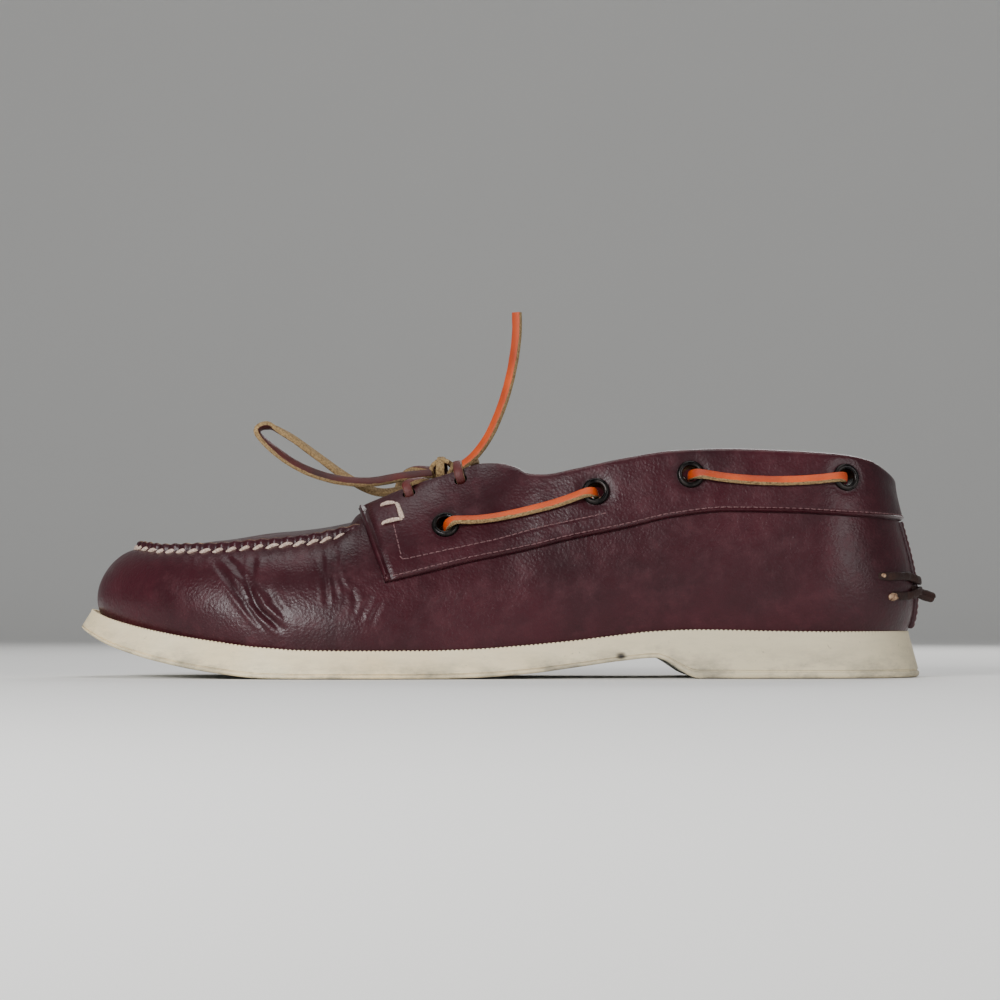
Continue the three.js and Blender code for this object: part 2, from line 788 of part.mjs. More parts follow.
function makeCrossing() {
  const lift = faceLift + gap * 2 + laceThickness / 2;
  const upwards = new THREE.Vector3(0, 0, 1);
  const strand = (row, centre) => {
    const start = wingPlace(row, 1);
    const end = wingPlace(row, -1);
    const edge = (place, side) => new THREE.Vector3(
      THREE.MathUtils.lerp(place.point.x, centre.x, 0.3),
      side * Math.abs(place.point.y) * 0.8,
      topEdge(angleAt(place.point.x / soleLength)).z + lift + 1.3,
    );
    const points = [
      start.point.clone().addScaledVector(start.normal, lift),
      edge(start, 1),
      centre,
      edge(end, -1),
      end.point.clone().addScaledVector(end.normal, lift),
    ];
    const faces = [start.normal, start.normal.clone().add(upwards), upwards,
      end.normal.clone().add(upwards), end.normal];
    return ribbon(points, faces, laceWidth, laceThickness, 12);
  };
  const low = knotPlace.z - knotHeight / 2 - gap - laceThickness / 2;
  const front = new THREE.Vector3(knotPlace.x + laceWidth * 0.45, 0, low);
  const rear = new THREE.Vector3(knotPlace.x - laceWidth * 0.45, 0, low);
  const first = toSolid(strand(holeRows[1], front));
  const second = toSolid(strand(holeRows[0], rear));
  return fromSolid(first.add(second));
}

// The tie at the heel: two strands around the back over the strip, and its rolled end.
function makeTie() {
  const strand = (reachAt, up, dip) => {
    const points = [];
    const faces = [];
    const count = 8;
    for (let k = 0; k <= count; k += 1) {
      const turn = THREE.MathUtils.lerp(angleAt(reachAt), -angleAt(reachAt), k / count);
      const angle = turn < 0 ? turn + fullTurn : turn;
      const nearBack = 1 - THREE.MathUtils.smoothstep(Math.abs(turn), 0.1, 0.26);
      const v = shareAtHeight(angle, (up - dip * nearBack) * collarHeight);
      const lift = gap * 1.4 + tieThickness / 2 + nearBack * (stripThickness + gap);
      points.push(skin(angle, v, lift));
      faces.push(skinNormal(angle, v));
    }
    return toSolid(ribbon(points, faces, tieWidth, tieThickness, 12));
  };
  const rootAngle = 0.07;
  const v = shareAtHeight(rootAngle, tieUp * collarHeight);
  const root = skin(rootAngle, v, gap * 2 + stripThickness + tieThickness * 0.6);
  const outwards = skinNormal(rootAngle, v);
  const tip = root.clone().addScaledVector(outwards, tieReach);
  const middlePoint = root.clone().lerp(tip, 0.5).add(new THREE.Vector3(0, 0.8, -0.2));
  const side = new THREE.Vector3(0, 1, 0.3);
  const roll = toSolid(ribbon([root, middlePoint, tip], [side, side, side], tieRoll, tieRoll * 0.8, 4));
  return fromSolid(strand(tieHighAt, tieHighUp, 0.02).add(strand(tieLowAt, tieLowUp, -0.022)).add(roll));
}

// The free lace: its routes are chosen by hand, from the knot outwards.
const freeLace = {
  lace_loop_lateral: [
    [171.4, 4.9, 71], [181, 8.5, 69.8], [193, 12, 67.8], [206, 15, 69], [218, 17, 73.6], [228.5, 18, 81.5],
    [231.5, 17.5, 85.5], [228.5, 16.5, 87.3], [221, 14.5, 84], [211, 11.5, 77], [200, 8, 69.2], [190, 5, 64.6],
    [181, 2.8, 65.6], [173.6, 1.4, 69.3],
  ],
  lace_loop_medial: [
    [170.8, -4.6, 72.6], [177.6, -13, 73.4], [182, -22, 70.2], [184.5, -31, 62.6], [186.5, -38.5, 53.5],
    [188.3, -43.8, 44], [189, -47, 36], [186.5, -49.6, 30.6], [181.3, -49.4, 30.8], [177.5, -46.9, 37],
    [174.8, -43.6, 45.5], [172.6, -39, 54.6], [171, -33, 63.8], [169.8, -25.5, 71.8], [168.8, -16, 75.8],
    [167.7, -5.6, 74.8],
  ],
  lace_end_lateral: [
    [162, 2.6, 72.8], [156.5, 4, 77], [151.5, 5, 83.5], [147.5, 5.6, 92], [144.5, 6, 101], [142.3, 6.2, 111],
    [141.2, 6.2, 120.5], [141.2, 6, 127.6],
  ],
  lace_end_medial: [
    [162.3, -3.4, 73.9], [158, -10, 75.8], [156.4, -18, 76.4], [156.2, -26, 73.6], [157, -33, 66.6], [158, -38.2, 58],
    [159, -41.8, 49], [160, -44.2, 40],
  ],
};

// The knot is a rounded lump where the lace runs meet.
function makeKnot() {
  const lump = new THREE.SphereGeometry(0.5, 10, 7);
  lump.scale(knotLength, knotWidth, knotHeight);
  lump.translate(knotPlace.x, knotPlace.y, knotPlace.z);
  return faceOut(mergeVertices(bare(lump), 1e-3));
}

function makeCord(points) {
  const curve = new THREE.CatmullRomCurve3(points.map((p) => new THREE.Vector3(...p)));
  const shape = new THREE.Shape();
  shape.absarc(0, 0, cordDiameter / 2, 0, fullTurn, false);
  const steps = Math.round(curve.getLength() / (cordDiameter * 2.4));
  const tube = new THREE.ExtrudeGeometry(shape, { steps, curveSegments: 4, extrudePath: curve, bevelEnabled: false });
  return faceOut(mergeVertices(bare(tube), 1e-3));
}

// The build
const lateralEyelets = eyeletRows.map((row) => eyeletPlace(row, 1));
const medialEyelets = eyeletRows.map((row) => eyeletPlace(row, -1));
const cutHoles = (solid) => {
  let result = solid;
  [...lateralEyelets, ...medialEyelets].forEach((place) => {
    result = result.subtract(holeCutter(place, eyeletBarrel + 2 * gap));
  });
  return fromSolid(result);
};

add("outsole", makeOutsole(), soleCream, 0.75);
add("insole", makeInsole(), insoleTan, 0.8);
add("upper", cutHoles(makeUpper()), leatherRed, 0.42);
add("tongue", makeTongue(), leatherDark, 0.6);
add("saddle_band", cutHoles(makeBand()), leatherRed, 0.42);
add("backstay", makeBackstay(), leatherRed, 0.42);
lateralEyelets.forEach((place, k) => add(`eyelet_lateral_${k + 1}`, makeEyelet(place), metalDark, 0.35, 0.9));
medialEyelets.forEach((place, k) => add(`eyelet_medial_${k + 1}`, makeEyelet(place), metalDark, 0.35, 0.9));
[["lateral", 1], ["medial", -1]].forEach(([name, side]) => {
  add(`lace_run_${name}_front`, makeRun(eyeletRows[0], eyeletRows[1], side), laceOrange, 0.6);
  add(`lace_run_${name}_rear`, makeRun(eyeletRows[2], eyeletRows[3], side), laceOrange, 0.6);
});
add("lace_crossing", makeCrossing(), laceOrange, 0.6);
add("heel_tie", makeTie(), tieBrown, 0.7);

const cordNames = ["lace_knot", ...Object.keys(freeLace)];
add("lace_knot", makeKnot(), laceTan, 0.85);
Object.entries(freeLace).forEach(([name, points]) => add(name, makeCord(points), laceOrange, 0.6));

// The origin is under the middle of the shoe, on the floor, with the lace's free ends left out.
const box = new THREE.Box3();
shoe.children.filter((mesh) => !cordNames.includes(mesh.name)).forEach((mesh) => box.expandByObject(mesh));
const centre = box.getCenter(new THREE.Vector3());
shoe.position.set(-centre.x, -centre.y, -box.min.z);

export default shoe;
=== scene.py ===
import math
import random

import bmesh
import bpy
import numpy as np
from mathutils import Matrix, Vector, noise


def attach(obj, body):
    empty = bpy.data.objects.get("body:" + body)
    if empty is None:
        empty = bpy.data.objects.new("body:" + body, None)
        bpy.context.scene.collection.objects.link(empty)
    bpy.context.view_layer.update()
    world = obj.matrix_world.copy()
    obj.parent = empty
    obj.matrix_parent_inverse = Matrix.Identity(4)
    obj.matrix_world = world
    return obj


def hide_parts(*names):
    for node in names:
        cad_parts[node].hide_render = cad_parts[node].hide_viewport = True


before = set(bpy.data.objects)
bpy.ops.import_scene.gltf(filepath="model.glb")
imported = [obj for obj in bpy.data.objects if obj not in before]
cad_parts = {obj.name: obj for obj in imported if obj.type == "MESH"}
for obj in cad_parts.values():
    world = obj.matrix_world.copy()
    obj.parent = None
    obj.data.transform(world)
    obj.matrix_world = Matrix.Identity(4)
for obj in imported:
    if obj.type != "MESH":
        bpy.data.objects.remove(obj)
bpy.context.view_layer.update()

scene = bpy.context.scene
random.seed(7)

# The shoe's own sizes in millimetres, as the solids have them. x runs from the heel to the toe.
shoe = {
    "length": 295.0, "ballWidth": 103.5, "heelHeight": 15.5, "toeSpring": 17.0,
    "collarHeight": 77.0, "apronHeight": 47.0, "wall": 2.0, "gap": 0.3, "tipOffset": 8.0,
    "sideLean": 4.0, "weltLedge": 3.0, "insoleThickness": 3.0,
    "apronRise": 0.6, "stripWidth": 13.0,
    "tongueThickness": 2.0, "tongueHalfWidth": 22.0, "heelReach": 0.136, "toeReach": 0.21,
    "topBack": 0.034, "topFront": 0.932, "collarRound": 0.095, "apronRound": 0.105,
    "wingBlendStart": 0.57, "wingBlendEnd": 0.75, "throatAt": 0.645, "seamStart": 0.7,
    "seamClimb": 0.22, "rootShift": (-144.12, 0.54, 0.0),
}
half = shoe["ballWidth"] / 2

soleTable = {
    "at": [0, .1, .17, .268, .32, .36, .41, .47, .53, .58, .67, .73, .77, .83, .89, .955, 1],
    "lateral": [.696, .696, .702, .715, .725, .742, .768, .818, .88, .935, 1.009, 1.02, 1.005, .955, .905,
                .845, .812],
    "medial": [.676, .676, .678, .643, .618, .6, .59, .612, .672, .754, .926, .966, .958, .91, .885, .88,
               .889],
    "tread": [0, 0, 0, 0, .45, .38, .245, .097, .02, 0, 0, 0, 0, 0, 0, 0, 0],
    "seat": [1, 1, 1.01, 1.045, 1.01, .93, .813, .703, .62, .59, .585, .6, .645, .665, .639, .574, .5],
    "spring": [0, 0, 0, 0, 0, 0, 0, 0, 0, 0, 0, 0, .01, .12, .31, .63, 1],
}
lipTable = {
    "at": [0, .14, .5, .85, 1],
    "lean": [.95, .6, .5, .6, .9],
    "lip": [.15, .35, .5, .75, 1],
}
topTable = {
    "at": [.034, .05, .07, .1, .16, .235, .295, .355, .41, .447, .463, .481, .502, .519, .536, .555, .59,
           .637, .666, .675, .683, .71, .75, .79, .84, .89, .932],
    "out": [.6, .6, .6, .6, .6, .6, .605, .605, .595, .57, .54, .485, .435, .415, .4, .39, .375, .365,
            .385, .46, .53, .555, .565, .56, .545, .53, .52],
    "up": [.875, .915, .953, .972, .988, .998, .99, .955, .91, .885, .889, .922, .938, .937, .92, .895,
           .853, .783, .728, .68, .64, .607, .59, .577, .564, .563, .585],
}
bendTable = {
    "at": [0, .2, .42, .55, .65, .78, 1],
    "footOut": [.145, .1, .085, .05, .045, .068, .087],
    "footUp": [.184, .234, .25, .27, .22, .18, .12],
    "topOut": [.03, .068, .1, .25, .27, .25, .17],
    "topUp": [.195, .25, .23, .13, .08, .035, .013],
}
crestTable = {"at": [.64, .66, .71, .77, .83, .89, .92, .95], "up": [1.19, 1.17, 1.107, 1.07, 1.02, .985, 1, .975]}
bandTable = {
    "at": [0, .1, .16, .235, .295, .355, .415, .475, .535, .595, .635],
    "up": [.7, .718, .731, .736, .712, .66, .612, .554, .506, .449, .414],
}
tongueTable = {
    "at": [.475, .481, .495, .52, .56, .6, .635],
    "across": [0, .52, .78, .95, 1, 1, 1],
    "up": [.88, .885, .892, .888, .842, .79, .735],
}
eyeletTable = {"at": [.565, .388, .278, .09], "up": [.668, .822, .9, .888]}


# The skin of the shoe, worked out as the solids are


def smoothTable(table, column, at):
    xs = np.asarray(table["at"], float)
    ys = np.asarray(table[column], float)
    x = np.clip(np.asarray(at, float), xs[0], xs[-1])
    k = np.clip(np.searchsorted(xs, x, side="left") - 1, 0, len(xs) - 2)
    slopes = np.diff(ys) / np.diff(xs)
    tangents = np.empty(len(xs))
    tangents[0], tangents[-1] = slopes[0], slopes[-1]
    product = slopes[:-1] * slopes[1:]
    total = slopes[:-1] + slopes[1:]
    safe = np.where(product > 0, total, 1.0)
    tangents[1:-1] = np.where(product > 0, 2 * product / safe, 0.0)
    span = xs[k + 1] - xs[k]
    t = (x - xs[k]) / span
    return ((1 + 2 * t) * (1 - t) ** 2 * ys[k] + t * (1 - t) ** 2 * span * tangents[k]
            + t * t * (3 - 2 * t) * ys[k + 1] + t * t * (t - 1) * span * tangents[k + 1])


denseTables = {}


def readTable(table, column, at):
    key = (id(table), column)
    if key not in denseTables:
        grid = np.linspace(table["at"][0], table["at"][-1], 6001)
        denseTables[key] = (grid, smoothTable(table, column, grid))
    return np.interp(at, *denseTables[key])


def smoothStep(value, low, high):
    t = np.clip((np.asarray(value, float) - low) / (high - low), 0, 1)
    return t * t * (3 - 2 * t)


def rounded(distance, reach):
    d = np.clip(np.asarray(distance, float) / reach, 0, 1)
    return np.sqrt(1 - (1 - d) ** 2)


def middle(at):
    return -shoe["tipOffset"] * smoothStep(at, 0.6, 1)


def angleAt(at):
    return np.arccos(1 - 2 * np.clip(at, 0, 1))


def outline(angle):
    at = (1 - np.cos(angle)) / 2
    side = np.where(np.sin(angle) >= 0, 1.0, -1.0)
    width = np.where(side > 0, readTable(soleTable, "lateral", at), readTable(soleTable, "medial", at)) * half
    curve = rounded(at, shoe["heelReach"]) * rounded(1 - at, shoe["toeReach"])
    return np.stack([at * shoe["length"], middle(at) + side * width * curve], -1)


def outward(angle):
    along = outline(angle + 0.01) - outline(angle - 0.01)
    along = along / np.linalg.norm(along, axis=-1, keepdims=True)
    return np.stack([-along[..., 1], along[..., 0]], -1)


def inset(angle, distance):
    return outline(angle) - outward(angle) * np.asarray(distance)[..., None]


def treadAt(x):
    at = np.clip(x / shoe["length"], 0, 1)
    return (readTable(soleTable, "tread", at) * shoe["heelHeight"]
            + readTable(soleTable, "spring", at) * shoe["toeSpring"])


def seatAt(x):
    at = np.clip(x / shoe["length"], 0, 1)
    return (readTable(soleTable, "seat", at) * shoe["heelHeight"]
            + readTable(soleTable, "spring", at) * shoe["toeSpring"])


def leanAt(at):
    return readTable(lipTable, "lean", at) * shoe["sideLean"]


def footInset(at):
    return leanAt(at) + readTable(lipTable, "lip", at) * shoe["weltLedge"]


def topEdge(angle):
    footAt = (1 - np.cos(angle)) / 2
    side = np.where(np.sin(angle) >= 0, 1.0, -1.0)
    heelShift = shoe["topBack"] * np.maximum(0, 1 - footAt / 0.2) ** 2
    toeShift = (1 - shoe["topFront"]) * np.maximum(0, (footAt - 0.69) / 0.31) ** 2
    at = footAt + heelShift - toeShift
    curve = rounded(at - shoe["topBack"], shoe["collarRound"]) * rounded(shoe["topFront"] - at, shoe["apronRound"])
    out = readTable(topTable, "out", at) * half * curve
    up = readTable(topTable, "up", at) * shoe["collarHeight"]
    return np.stack([at * shoe["length"], middle(at) + side * out, up], -1)


def bodyEdge(angle):
    high = topEdge(angle)
    at = high[..., 0] / shoe["length"]
    side = np.where(np.sin(angle) >= 0, 1.0, -1.0)
    t = smoothStep(at, shoe["wingBlendStart"], shoe["wingBlendEnd"])
    before = np.minimum(at, shoe["wingBlendStart"])
    after = np.maximum(at, shoe["wingBlendEnd"])
    out = readTable(topTable, "out", before) * (1 - t) + readTable(topTable, "out", after) * t
    up = readTable(topTable, "up", before) * (1 - t) + readTable(topTable, "up", after) * t
    curve = rounded(at - shoe["topBack"], shoe["collarRound"]) * rounded(shoe["topFront"] - at, shoe["apronRound"])
    return np.stack([high[..., 0], middle(at) + side * out * half * curve, up * shoe["collarHeight"]], -1)


def section(angle, v):
    angle, v = np.broadcast_arrays(np.asarray(angle, float), np.asarray(v, float))
    at = (1 - np.cos(angle)) / 2
    foot = inset(angle, footInset(at))
    away = outward(angle)
    low = np.concatenate([foot, (seatAt(foot[..., 0]) + shoe["gap"])[..., None]], -1)
    high = topEdge(angle)
    body = bodyEdge(angle)
    footOut = (readTable(bendTable, "footOut", at) * half)[..., None]
    topOut = (readTable(bendTable, "topOut", at) * half)[..., None]
    footUp = readTable(bendTable, "footUp", at) * shoe["collarHeight"]
    topUp = readTable(bendTable, "topUp", at) * shoe["collarHeight"]
    first = low + np.concatenate([away * footOut, footUp[..., None]], -1)
    last = body + np.concatenate([away * topOut, -topUp[..., None]], -1)
    t = v[..., None]
    w = 1 - t
    return w ** 3 * low + 3 * w * w * t * first + 3 * w * t * t * last + t ** 3 * high


def unit(vectors):
    return vectors / np.maximum(np.linalg.norm(vectors, axis=-1, keepdims=True), 1e-9)


def skinNormal(angle, v):
    step = 0.012
    angle, v = np.broadcast_arrays(np.asarray(angle, float), np.asarray(v, float))
    along = section(angle + step, v) - section(angle - step, v)
    up = section(angle, np.minimum(1, v + step)) - section(angle, np.maximum(0, v - step))
    return unit(np.cross(up, along))


def skin(angle, v, off):
    off = np.asarray(off, float)
    return section(angle, v) + skinNormal(angle, v) * off[..., None]


def shareAtHeight(angle, height):
    angle, height = np.broadcast_arrays(np.asarray(angle, float), np.asarray(height, float))
    low = np.zeros(angle.shape)
    high = np.ones(angle.shape)
    for turn in range(24):
        mid = (low + high) / 2
        below = section(angle, mid)[..., 2] < height
        low = np.where(below, mid, low)
        high = np.where(below, high, mid)
    return (low + high) / 2


def placeOn(x, z, side=1):
    # The angle and the share of the section that a place seen from the side has.
    x, z = np.broadcast_arrays(np.asarray(x, float), np.asarray(z, float))
    angle = angleAt(np.clip(x / shoe["length"], 0.001, 0.999))
    for turn in range(7):
        signed = angle if side > 0 else 2 * math.pi - angle
        v = shareAtHeight(signed, z)
        slope = np.maximum(shoe["length"] * np.sin(angle) / 2, 25)
        angle = np.clip(angle - (section(signed, v)[..., 0] - x) / slope, 0.02, math.pi - 0.02)
    signed = angle if side > 0 else 2 * math.pi - angle
    return signed, shareAtHeight(signed, z)


# Meshes


def toFrame(points):
    return (np.asarray(points, float) + np.array(shoe["rootShift"])) / 1000.0


def makePiece(name, points, faces, material, sharp=None):
    mesh = bpy.data.meshes.new(name)
    mesh.from_pydata(toFrame(points).reshape(-1, 3).tolist(), [], faces)
    mesh.update()
    mesh.materials.append(material)
    piece = bpy.data.objects.new(name, mesh)
    scene.collection.objects.link(piece)
    mesh.polygons.foreach_set("use_smooth", [True] * len(mesh.polygons))
    faceOut(mesh)
    if sharp:
        mesh.set_sharp_from_angle(angle=math.radians(sharp))
    return piece


def faceOut(mesh):
    mesh.calc_loop_triangles()
    corners = np.empty(len(mesh.loop_triangles) * 3, int)
    mesh.loop_triangles.foreach_get("vertices", corners)
    places = np.empty(len(mesh.vertices) * 3)
    mesh.vertices.foreach_get("co", places)
    a, b, c = places.reshape(-1, 3)[corners.reshape(-1, 3)].transpose(1, 0, 2)
    if np.sum(a * np.cross(b, c)) < 0:
        mesh.flip_normals()


def gridFaces(columns, rows, closedColumns=False, closedRows=False):
    faces = []
    for i in range(columns if closedColumns else columns - 1):
        a, b = i * rows, ((i + 1) % columns) * rows
        for j in range(rows if closedRows else rows - 1):
            k = (j + 1) % rows
            faces.append((a + j, b + j, b + k, a + k))
    return faces


def setValues(piece, name, values):
    attribute = piece.data.attributes.new(name, "FLOAT", "POINT")
    attribute.data.foreach_set("value", np.asarray(values, float).ravel())


def smoothPath(points, spacing):
    # The same curve through the points that the solids' routes have, in even steps.
    points = np.asarray(points, float)
    padded = np.vstack([2 * points[0] - points[1], points, 2 * points[-1] - points[-2]])
    samples = []
    for k in range(len(points) - 1):
        p0, p1, p2, p3 = padded[k:k + 4]
        d0, d1, d2 = (np.sqrt(np.linalg.norm(b - a)) for a, b in ((p0, p1), (p1, p2), (p2, p3)))
        start = d1 * ((p1 - p0) / d0 - (p2 - p0) / (d0 + d1) + (p2 - p1) / d1)
        end = d1 * ((p2 - p1) / d1 - (p3 - p1) / (d1 + d2) + (p3 - p2) / d2)
        for t in np.linspace(0, 1, 24, endpoint=False):
            samples.append((2 * t ** 3 - 3 * t * t + 1) * p1 + (t ** 3 - 2 * t * t + t) * start
                           + (3 * t * t - 2 * t ** 3) * p2 + (t ** 3 - t * t) * end)
    samples = np.array(samples + [points[-1]])
    lengths = np.concatenate([[0], np.cumsum(np.linalg.norm(np.diff(samples, axis=0), axis=1))])
    count = max(4, int(round(lengths[-1] / spacing)) + 1)
    even = np.linspace(0, lengths[-1], count)
    return np.stack([np.interp(even, lengths, samples[:, c]) for c in range(3)], -1)


def stripSection(width, thickness, corner, crown=0.12):
    # A rounded rectangle, and how far each of its points belongs to the grain face.
    w, t = width / 2, thickness / 2
    outlinePoints, grain = [], []
    arcs = [(w - corner, t - corner, 0), (-w + corner, t - corner, 90),
            (-w + corner, -t + corner, 180), (w - corner, -t + corner, 270)]
    for a, b, start in arcs:
        for turn in (0, 30, 60, 90):
            angle = math.radians(start + turn)
            outlinePoints.append((a + corner * math.cos(angle), b + corner * math.sin(angle)))
            upness = math.sin(angle)
            grain.append(1.0 if b > 0 and upness > 0.8 else 0.45 if b > 0 and upness > 0.45 else 0.0)
        if start == 0:
            outlinePoints.extend([(w * 0.35, t + crown), (-w * 0.35, t + crown)])
            grain.extend([1.0, 1.0])
        if start == 180:
            outlinePoints.extend([(-w * 0.35, -t - crown), (w * 0.35, -t - crown)])
            grain.extend([0.0, 0.0])
    return np.array(outlinePoints), np.array(grain)


def ribbonShape(path, faceList, width, thickness, corner=0.4, rough=0.05, seed=0, taper=None):
    # Rings of a flat strip along a path. faceList holds (share of the length, direction) pairs.
    shares = np.linspace(0, 1, len(path))
    keys = np.array([share for share, face in faceList])
    dirs = np.array([face for share, face in faceList], float)
    facing = unit(np.stack([np.interp(shares, keys, dirs[:, c]) for c in range(3)], -1))
    along = unit(np.gradient(path, axis=0))
    across = unit(np.cross(along, facing))
    up = unit(np.cross(across, along))
    outlinePoints, grain = stripSection(width, thickness, corner)
    rings = []
    for k, place in enumerate(path):
        wide = 1 + rough * noise.noise(Vector((k * 0.31, seed * 3.7, 0.2)))
        thick = 1 + rough * 1.6 * noise.noise(Vector((k * 0.27, seed * 2.1, 5.2)))
        size = 1.0 if taper is None else float(np.interp(shares[k], taper[0], taper[1]))
        rings.append(place + across[k] * outlinePoints[:, :1] * wide * size
                     + up[k] * outlinePoints[:, 1:] * thick * size)
    return np.array(rings), np.tile(grain, (len(path), 1))


def ribbonPiece(name, strips, material):
    points, faces, grains, start = [], [], [], 0
    for rings, grain in strips:
        columns, rows = rings.shape[:2]
        faces += [tuple(start + k for k in face) for face in gridFaces(columns, rows, closedRows=True)]
        faces.append(tuple(start + k for k in range(rows)))
        faces.append(tuple(start + (columns - 1) * rows + k for k in range(rows))[::-1])
        points.append(rings.reshape(-1, 3))
        grains.append(grain.ravel())
        start += columns * rows
    piece = makePiece(name, np.concatenate(points), faces, material, sharp=55)
    setValues(piece, "grain", np.concatenate(grains))
    return piece


# Materials


def linear(red, green, blue):
    def one(value):
        value = value / 255
        return value / 12.92 if value <= 0.04045 else ((value + 0.055) / 1.055) ** 2.4
    return (one(red), one(green), one(blue), 1.0)


def startMaterial(name, roughness=0.5, metallic=0.0):
    material = bpy.data.materials.new(name)
    material.use_nodes = True
    shader = material.node_tree.nodes["Principled BSDF"]
    shader.inputs["Roughness"].default_value = roughness
    shader.inputs["Metallic"].default_value = metallic
    return material, material.node_tree, shader


def feed(tree, socket, value):
    if isinstance(value, bpy.types.NodeSocket):
        tree.links.new(value, socket)
    else:
        socket.default_value = value


def objectPlace(tree, stretch=(1, 1, 1), turn=(0, 0, 0)):
    coordinates = tree.nodes.new("ShaderNodeTexCoord")
    mapping = tree.nodes.new("ShaderNodeMapping")
    mapping.inputs["Scale"].default_value = stretch
    mapping.inputs["Rotation"].default_value = turn
    tree.links.new(coordinates.outputs["Object"], mapping.inputs["Vector"])
    return mapping.outputs["Vector"]


def noiseValue(tree, place, scale, detail=3.0, roughness=0.55, distortion=0.0):
    node = tree.nodes.new("ShaderNodeTexNoise")
    for name, value in (("Vector", place), ("Scale", scale), ("Detail", detail),
                        ("Roughness", roughness), ("Distortion", distortion)):
        feed(tree, node.inputs[name], value)
    return node.outputs["Fac"]


def cells(tree, place, scale, feature="SMOOTH_F1", smooth=0.35):
    node = tree.nodes.new("ShaderNodeTexVoronoi")
    node.feature = feature
    feed(tree, node.inputs["Vector"], place)
    feed(tree, node.inputs["Scale"], scale)
    if feature == "SMOOTH_F1":
        node.inputs["Smoothness"].default_value = smooth
    return node.outputs["Distance"]


def mapValue(tree, value, fromLow, fromHigh, toLow=0.0, toHigh=1.0):
    node = tree.nodes.new("ShaderNodeMapRange")
    node.clamp = True
    for index, entry in enumerate((value, fromLow, fromHigh, toLow, toHigh)):
        feed(tree, node.inputs[index], entry)
    return node.outputs["Result"]


def sums(tree, operation, first, second=0.0):
    node = tree.nodes.new("ShaderNodeMath")
    node.operation = operation
    feed(tree, node.inputs[0], first)
    feed(tree, node.inputs[1], second)
    return node.outputs[0]


def blend(tree, factor, first, second, mode="MIX"):
    node = tree.nodes.new("ShaderNodeMix")
    node.data_type = "RGBA"
    node.blend_type = mode
    feed(tree, node.inputs[0], factor)
    feed(tree, node.inputs[6], first)
    feed(tree, node.inputs[7], second)
    return node.outputs[2]


def painted(tree, name):
    node = tree.nodes.new("ShaderNodeAttribute")
    node.attribute_name = name
    return node.outputs["Fac"]


def bumpOf(tree, height, distance, strength=1.0, under=None):
    node = tree.nodes.new("ShaderNodeBump")
    node.inputs["Strength"].default_value = strength
    node.inputs["Distance"].default_value = distance
    tree.links.new(height, node.inputs["Height"])
    if under is not None:
        tree.links.new(under, node.inputs["Normal"])
    return node.outputs["Normal"]


laceLook = {
    "orange": linear(206, 78, 6), "deepOrange": linear(156, 50, 6),
    # The red pair is a darker copy of the orange grain face. It is painted shade, and partly also leather less faded
    # than the runs.
    "red": linear(84, 14, 8), "deepRed": linear(46, 8, 6),
    "suede": linear(180, 150, 104), "darkSuede": linear(108, 84, 54),
}


def makeLaceMaterial(name, light, deep):
    material, tree, shader = startMaterial(name, 0.55)
    place = objectPlace(tree)
    slow = noiseValue(tree, place, 70, 2)
    fine = noiseValue(tree, place, 1500, 3, 0.7)
    face = blend(tree, mapValue(tree, slow, 0.35, 0.7), light, deep)
    face = blend(tree, mapValue(tree, fine, 0.45, 0.75, 0, 0.35), face, deep)
    suede = blend(tree, mapValue(tree, fine, 0.35, 0.65), laceLook["darkSuede"], laceLook["suede"])
    edge = sums(tree, "ADD", painted(tree, "grain"),
                mapValue(tree, noiseValue(tree, place, 420, 2), 0.3, 0.7, -0.28, 0.28))
    onFace = mapValue(tree, edge, 0.32, 0.5)
    feed(tree, shader.inputs["Base Color"], blend(tree, onFace, suede, face))
    feed(tree, shader.inputs["Roughness"], mapValue(tree, onFace, 0, 1, 0.92, 0.5))
    fuzz = noiseValue(tree, place, 2600, 4, 0.75)
    height = sums(tree, "MULTIPLY", fuzz, mapValue(tree, onFace, 0, 1, 1.0, 0.3))
    normal = bumpOf(tree, height, 0.0005, 0.9)
    feed(tree, shader.inputs["Normal"], normal)
    return material


orangeLace = makeLaceMaterial("rawhideOrange", laceLook["orange"], laceLook["deepOrange"])
# The loops, knot and crossing take the dark red copy. It is painted shade on the lace, and partly less faded leather.
shadedRedLace = makeLaceMaterial("rawhideRed", laceLook["red"], laceLook["deepRed"])

# The camera, level with the floor and beside the shoe as the photograph looks at it
view = {"distance": 1.15, "height": 0.022, "aimHeight": 0.062, "aimX": 0.003, "frameWidth": 0.352}


def placeCamera():
    data = bpy.data.cameras.new("sideCamera")
    data.sensor_width = 36
    data.lens = 36 * view["distance"] / view["frameWidth"]
    data.clip_start = 0.01
    camera = bpy.data.objects.new("sideCamera", data)
    scene.collection.objects.link(camera)
    camera.location = (view["aimX"], view["distance"], view["height"])
    aim = Vector((view["aimX"], 0, view["aimHeight"])) - camera.location
    camera.rotation_euler = aim.to_track_quat("-Z", "Y").to_euler()
    scene.camera = camera
    print("camera placed")


placeCamera()

